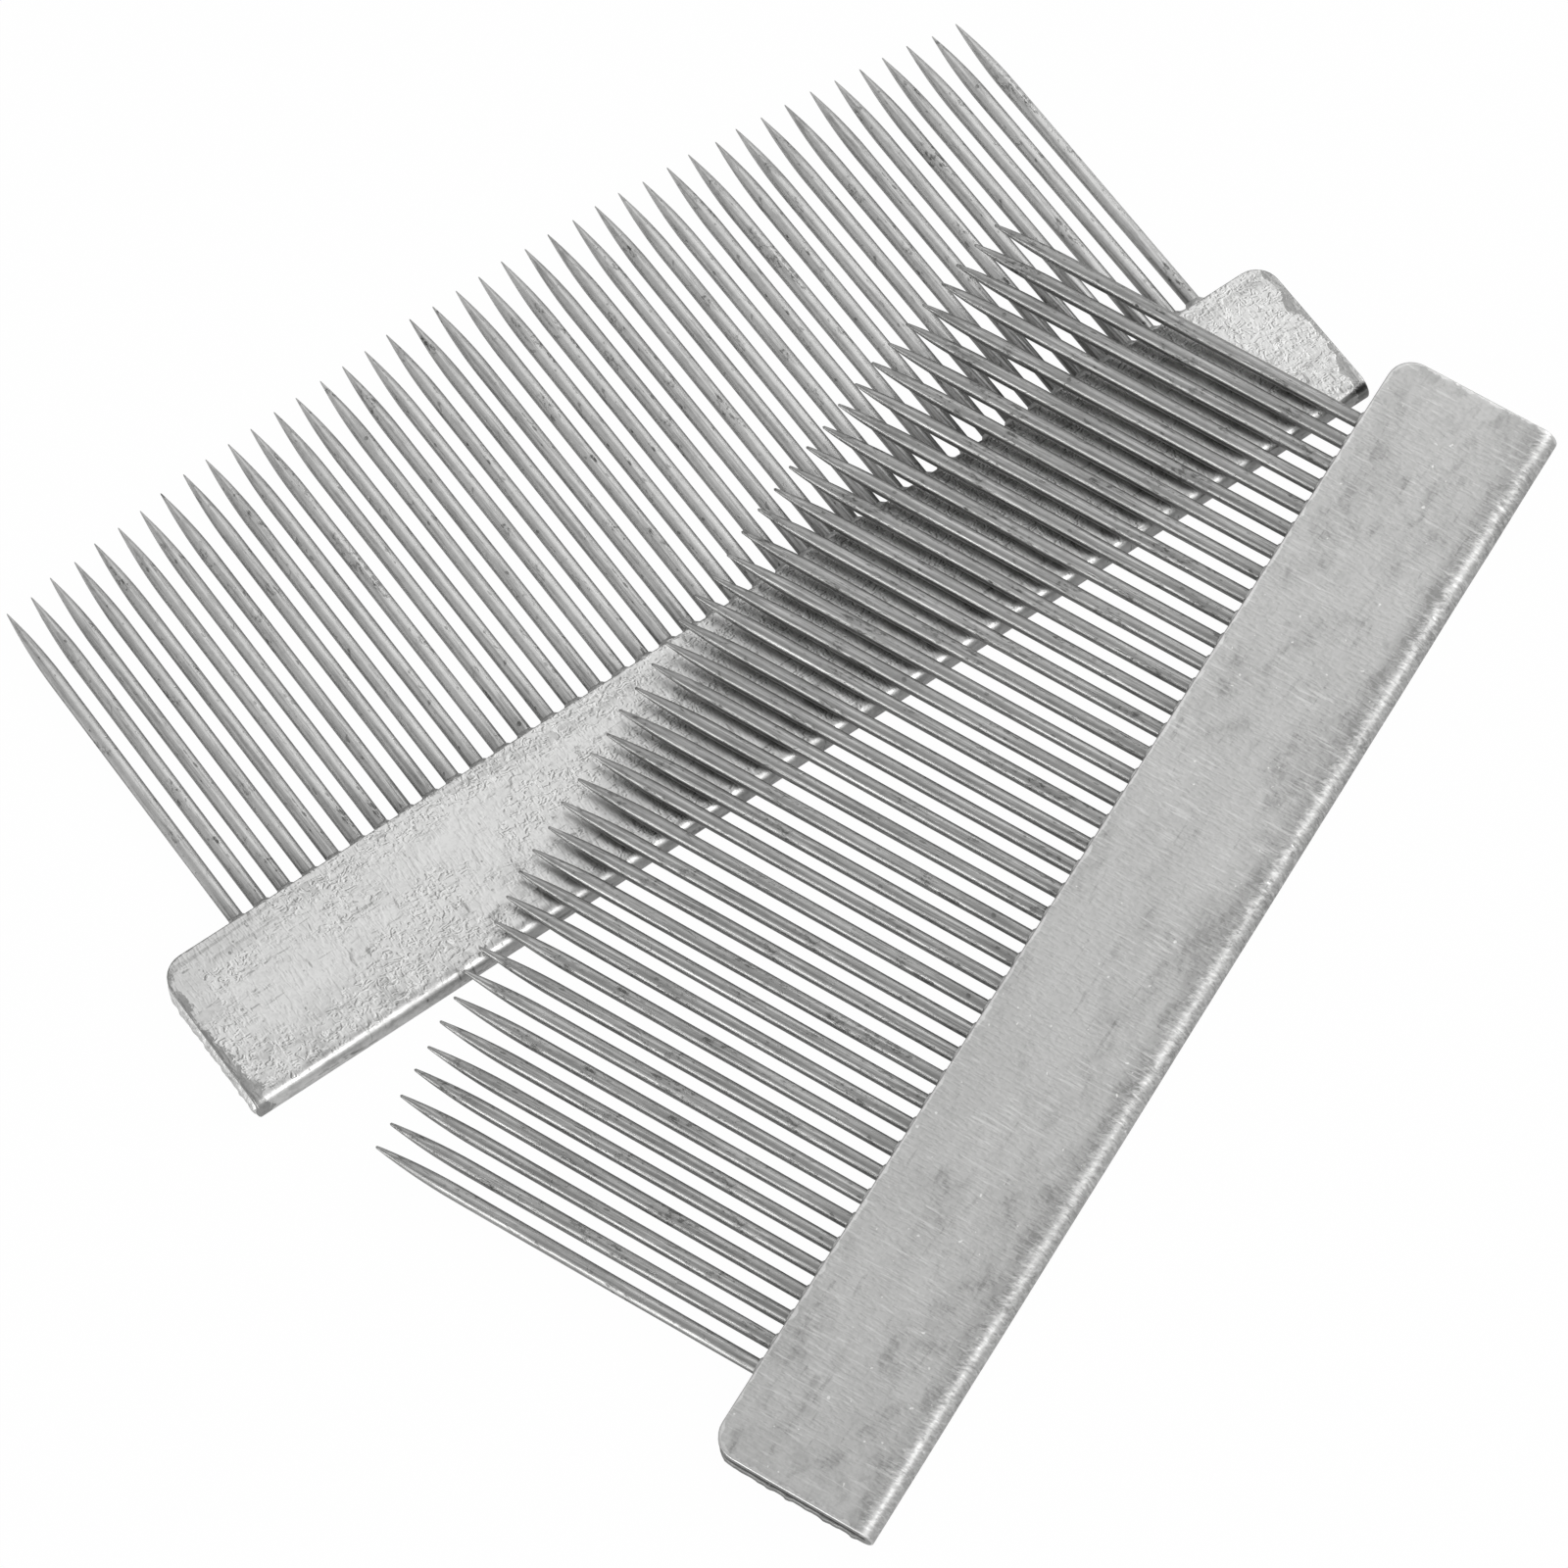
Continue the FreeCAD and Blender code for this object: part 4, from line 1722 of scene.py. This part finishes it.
@dataclass(frozen=True)
class Studio:
    """White table, even light from all round, and a few large soft lamps."""

    room: float = 0.60                # brightness of the white room, where 1 is white
    white_seen: float = 0.985         # share of plain white behind the combs, as the camera sees it
    white_mirrored: float = 0.20      # the same as metal shows it, so that its own shadow shows too
    paper: str = "#D0D0D0"            # the table's own colour
    half_side: float = 6.0            # m from the table's middle to its edges
    below: float = 0.00004            # m from the floor of the frame down to the table's top
    lamps: tuple[Lamp, ...] = (
        Lamp("lamp_right", (0.80, -0.10, 0.56), 0.95, 0.80, 0.50, 3.6),
        Lamp("lamp_front", (0.28, -0.72, 0.62), 0.95, 0.60, 0.30, 2.0),
        Lamp("lamp_left_low", (-0.85, -0.40, 0.18), 0.95, 1.00, 0.38, 4.6),
        Lamp("lamp_above", (0.30, 0.38, 0.88), 0.95, 0.80, 0.80, 1.0),
    )

    def plain_white(self, tree: bpy.types.NodeTree) -> bpy.types.NodeSocket:
        """Build the share of plain white behind the combs, for each kind of ray.

        Args:
            tree: The tree that it goes into.

        Returns:
            The share: one for the camera, and one for reflections and what shows through.
        """
        rays = {
            "Is Camera Ray": self.white_seen,
            "Is Glossy Ray": self.white_mirrored,
            "Is Transmission Ray": self.white_mirrored,
        }
        total: Any = 0.0
        for kind, share in rays.items():
            ray = add_node(tree, "ShaderNodeLightPath", output=kind)
            part = add_node(tree, "ShaderNodeMath", ray, share, operation="MULTIPLY")
            total = add_node(tree, "ShaderNodeMath", total, part, operation="MAXIMUM")
        return total

    def table(self) -> None:
        """Lay the white table under the combs."""
        half, z = self.half_side, -self.below
        corners = [(-half, -half, z), (half, -half, z), (half, half, z), (-half, half, z)]
        table = new_piece("table", corners, [(0, 1, 2, 3)])
        # Matt white paper: an even, shadeless white that still takes a soft shadow.
        made = bpy.data.materials.new("matt_white_paper")
        made.use_nodes = True
        tree = made.node_tree
        tree.nodes.clear()
        paper = add_node(tree, "ShaderNodeBsdfDiffuse", feeds={"Color": linear(self.paper)})
        glow = add_node(
            tree, "ShaderNodeEmission", feeds={"Color": linear("#FFFFFF"), "Strength": 1.0}
        )
        surface = add_node(tree, "ShaderNodeMixShader", self.plain_white(tree), paper, glow)
        add_node(tree, "ShaderNodeOutputMaterial", feeds={"Surface": surface})
        table.data.materials.append(made)
        table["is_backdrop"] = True

    def surroundings(self) -> None:
        """Light the room evenly from all round."""
        world = bpy.data.worlds.new("white_room")
        world.use_nodes = True
        tree = world.node_tree
        tree.nodes.clear()
        level = add_node(
            tree, "ShaderNodeMath", self.plain_white(tree), self.room, operation="MAXIMUM"
        )
        feeds = {"Color": linear("#FFFFFF"), "Strength": level}
        light = add_node(tree, "ShaderNodeBackground", feeds=feeds)
        add_node(tree, "ShaderNodeOutputWorld", feeds={"Surface": light})
        bpy.context.scene.world = world

    def build(self, centre: Vector) -> None:
        """Build the table, the room and the lamps.

        Args:
            centre: The middle of the combs.
        """
        self.table()
        self.surroundings()
        for lamp in self.lamps:
            lamp.build(centre)
        bpy.context.scene.view_settings.view_transform = "Standard"


@dataclass(frozen=True)
class Viewpoint:
    """The camera: where it looks, from where, and how long its lens is. Millimetres and degrees."""

    target: tuple[float, float, float] = (-6.69, -11.13, 0.0)
    azimuth: float = -35.32
    elevation: float = 64.61
    distance: float = 862.4
    roll: float = -0.44
    lens: float = 163.85

    def build(self) -> None:
        """Create the camera and make it the scene's."""
        around, above = math.radians(self.azimuth), math.radians(self.elevation)
        back = Vector(
            (
                math.sin(around) * math.cos(above),
                -math.cos(around) * math.cos(above),
                math.sin(above),
            ),
        )
        level = Vector((math.cos(around), math.sin(around), 0))
        roll = math.radians(self.roll)
        right = level * math.cos(roll) + back.cross(level) * math.sin(roll)
        up = back.cross(right)
        data = bpy.data.cameras.new("camera")
        data.lens = self.lens
        data.sensor_width = 36.0
        data.clip_start, data.clip_end = 0.01, 50.0
        camera = bpy.data.objects.new("camera", data)
        turned = Matrix((right, up, back)).transposed().to_4x4()
        place = Vector(self.target) * MM + back * self.distance * MM
        camera.matrix_world = Matrix.Translation(place) @ turned
        bpy.context.scene.collection.objects.link(camera)
        bpy.context.scene.camera = camera


def lower_comb(sizes: CombSizes) -> Comb:
    """The lower comb: tinned, its solder standing out along the mouth and at the left end.

    Args:
        sizes: The sizes that both combs share.

    Returns:
        The comb, ready to build.
    """
    wire = DrawnWire("drawn_steel_wire_lower", colour="#CECECD")
    solder = SoftSolder("frozen_soft_solder_lower")
    row_sizes = replace(
        sizes, needle_reach=sizes.needle_reach - LOWER_REACH_LESS, point_radius=0.06
    )
    return Comb(
        which=CombName.LOWER,
        sizes=sizes,
        place=Matrix.Identity(4),
        spine=FoldedSpine(
            "lower_comb_spine", sizes, TinnedSheet("tin_wiped_steel_sheet", colour="#DADAD9")
        ),
        needles=NeedleRow("lower_comb_needles", row_sizes, wire, seed=3),
        seam=SolderSeam(
            "lower_comb_solder",
            sizes,
            solder,
            flare=1.6,
            bulge=0.38,
            bulge_right=0.75,
            climb=0.62,
            lumps=0.24,
            seed=5,
        ),
        sheet_slot="tinned_sheet",
        wire_slot="lower_needle_wire",
        plug=EndPlug(
            "lower_comb_end_solder",
            sizes,
            # The end plug's solder is a lighter copy of the solder finish: painted light, against
            # the shaded table it faces.
            SoftSolder("frozen_soft_solder_end_painted_lighter", colour="#F0F0EF", light="#FAFAF9", dross_dark=0.4),
        ),
    )


def upper_comb(sizes: CombSizes) -> Comb:
    """The upper comb: bare rubbed steel, with burrs at one end and slightly longer points.

    Args:
        sizes: The sizes that both combs share.

    Returns:
        The comb, ready to build.
    """
    wire = DrawnWire(
        "drawn_steel_wire_upper", colour="#A4A4A3", rooted=0.16, roughness=0.35,
        patches=Marks((2.6, 7.0, 2.6), 0.54, 0.60, detail=5.0, grit=0.6, seed=5),
    )
    row_sizes = replace(
        sizes,
        needle_reach=sizes.needle_reach + UPPER_REACH_MORE,
        point_radius=0.16,
        first_needle_x=sizes.first_needle_x - UPPER_ROW_SHIFT,
    )
    sheet = SatinSheet("rubbed_steel_sheet", colour="#BCBCBB")
    return Comb(
        which=CombName.UPPER,
        sizes=sizes,
        place=UpperRest().placement(sizes),
        spine=FoldedSpine("upper_comb_spine", sizes, sheet, set_back=0.36, burr=0.34, seed=31.0),
        needles=NeedleRow("upper_comb_needles", row_sizes, wire, seed=11),
        seam=SolderSeam(
            "upper_comb_solder",
            sizes,
            SoftSolder("frozen_soft_solder_upper"),
            climb=0.4,
            lumps=0.1,
            seed=9,
        ),
        sheet_slot="bare_sheet",
        wire_slot="upper_needle_wire",
    )


def main() -> None:
    """Build the studio and both combs, then log the box of the CAD parts, taken before building."""
    logging.basicConfig(level=logging.INFO, format="%(message)s")
    cad = [list(corner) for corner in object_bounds()]
    low, high = (Vector(corner) for corner in cad)
    Viewpoint().build()
    Studio().build((low + high) / 2)
    sizes = CombSizes.from_frame()
    for comb in (lower_comb(sizes), upper_comb(sizes)):
        comb.build()
    log.info("cad %s", cad)


if __name__ == "__main__":
    main()
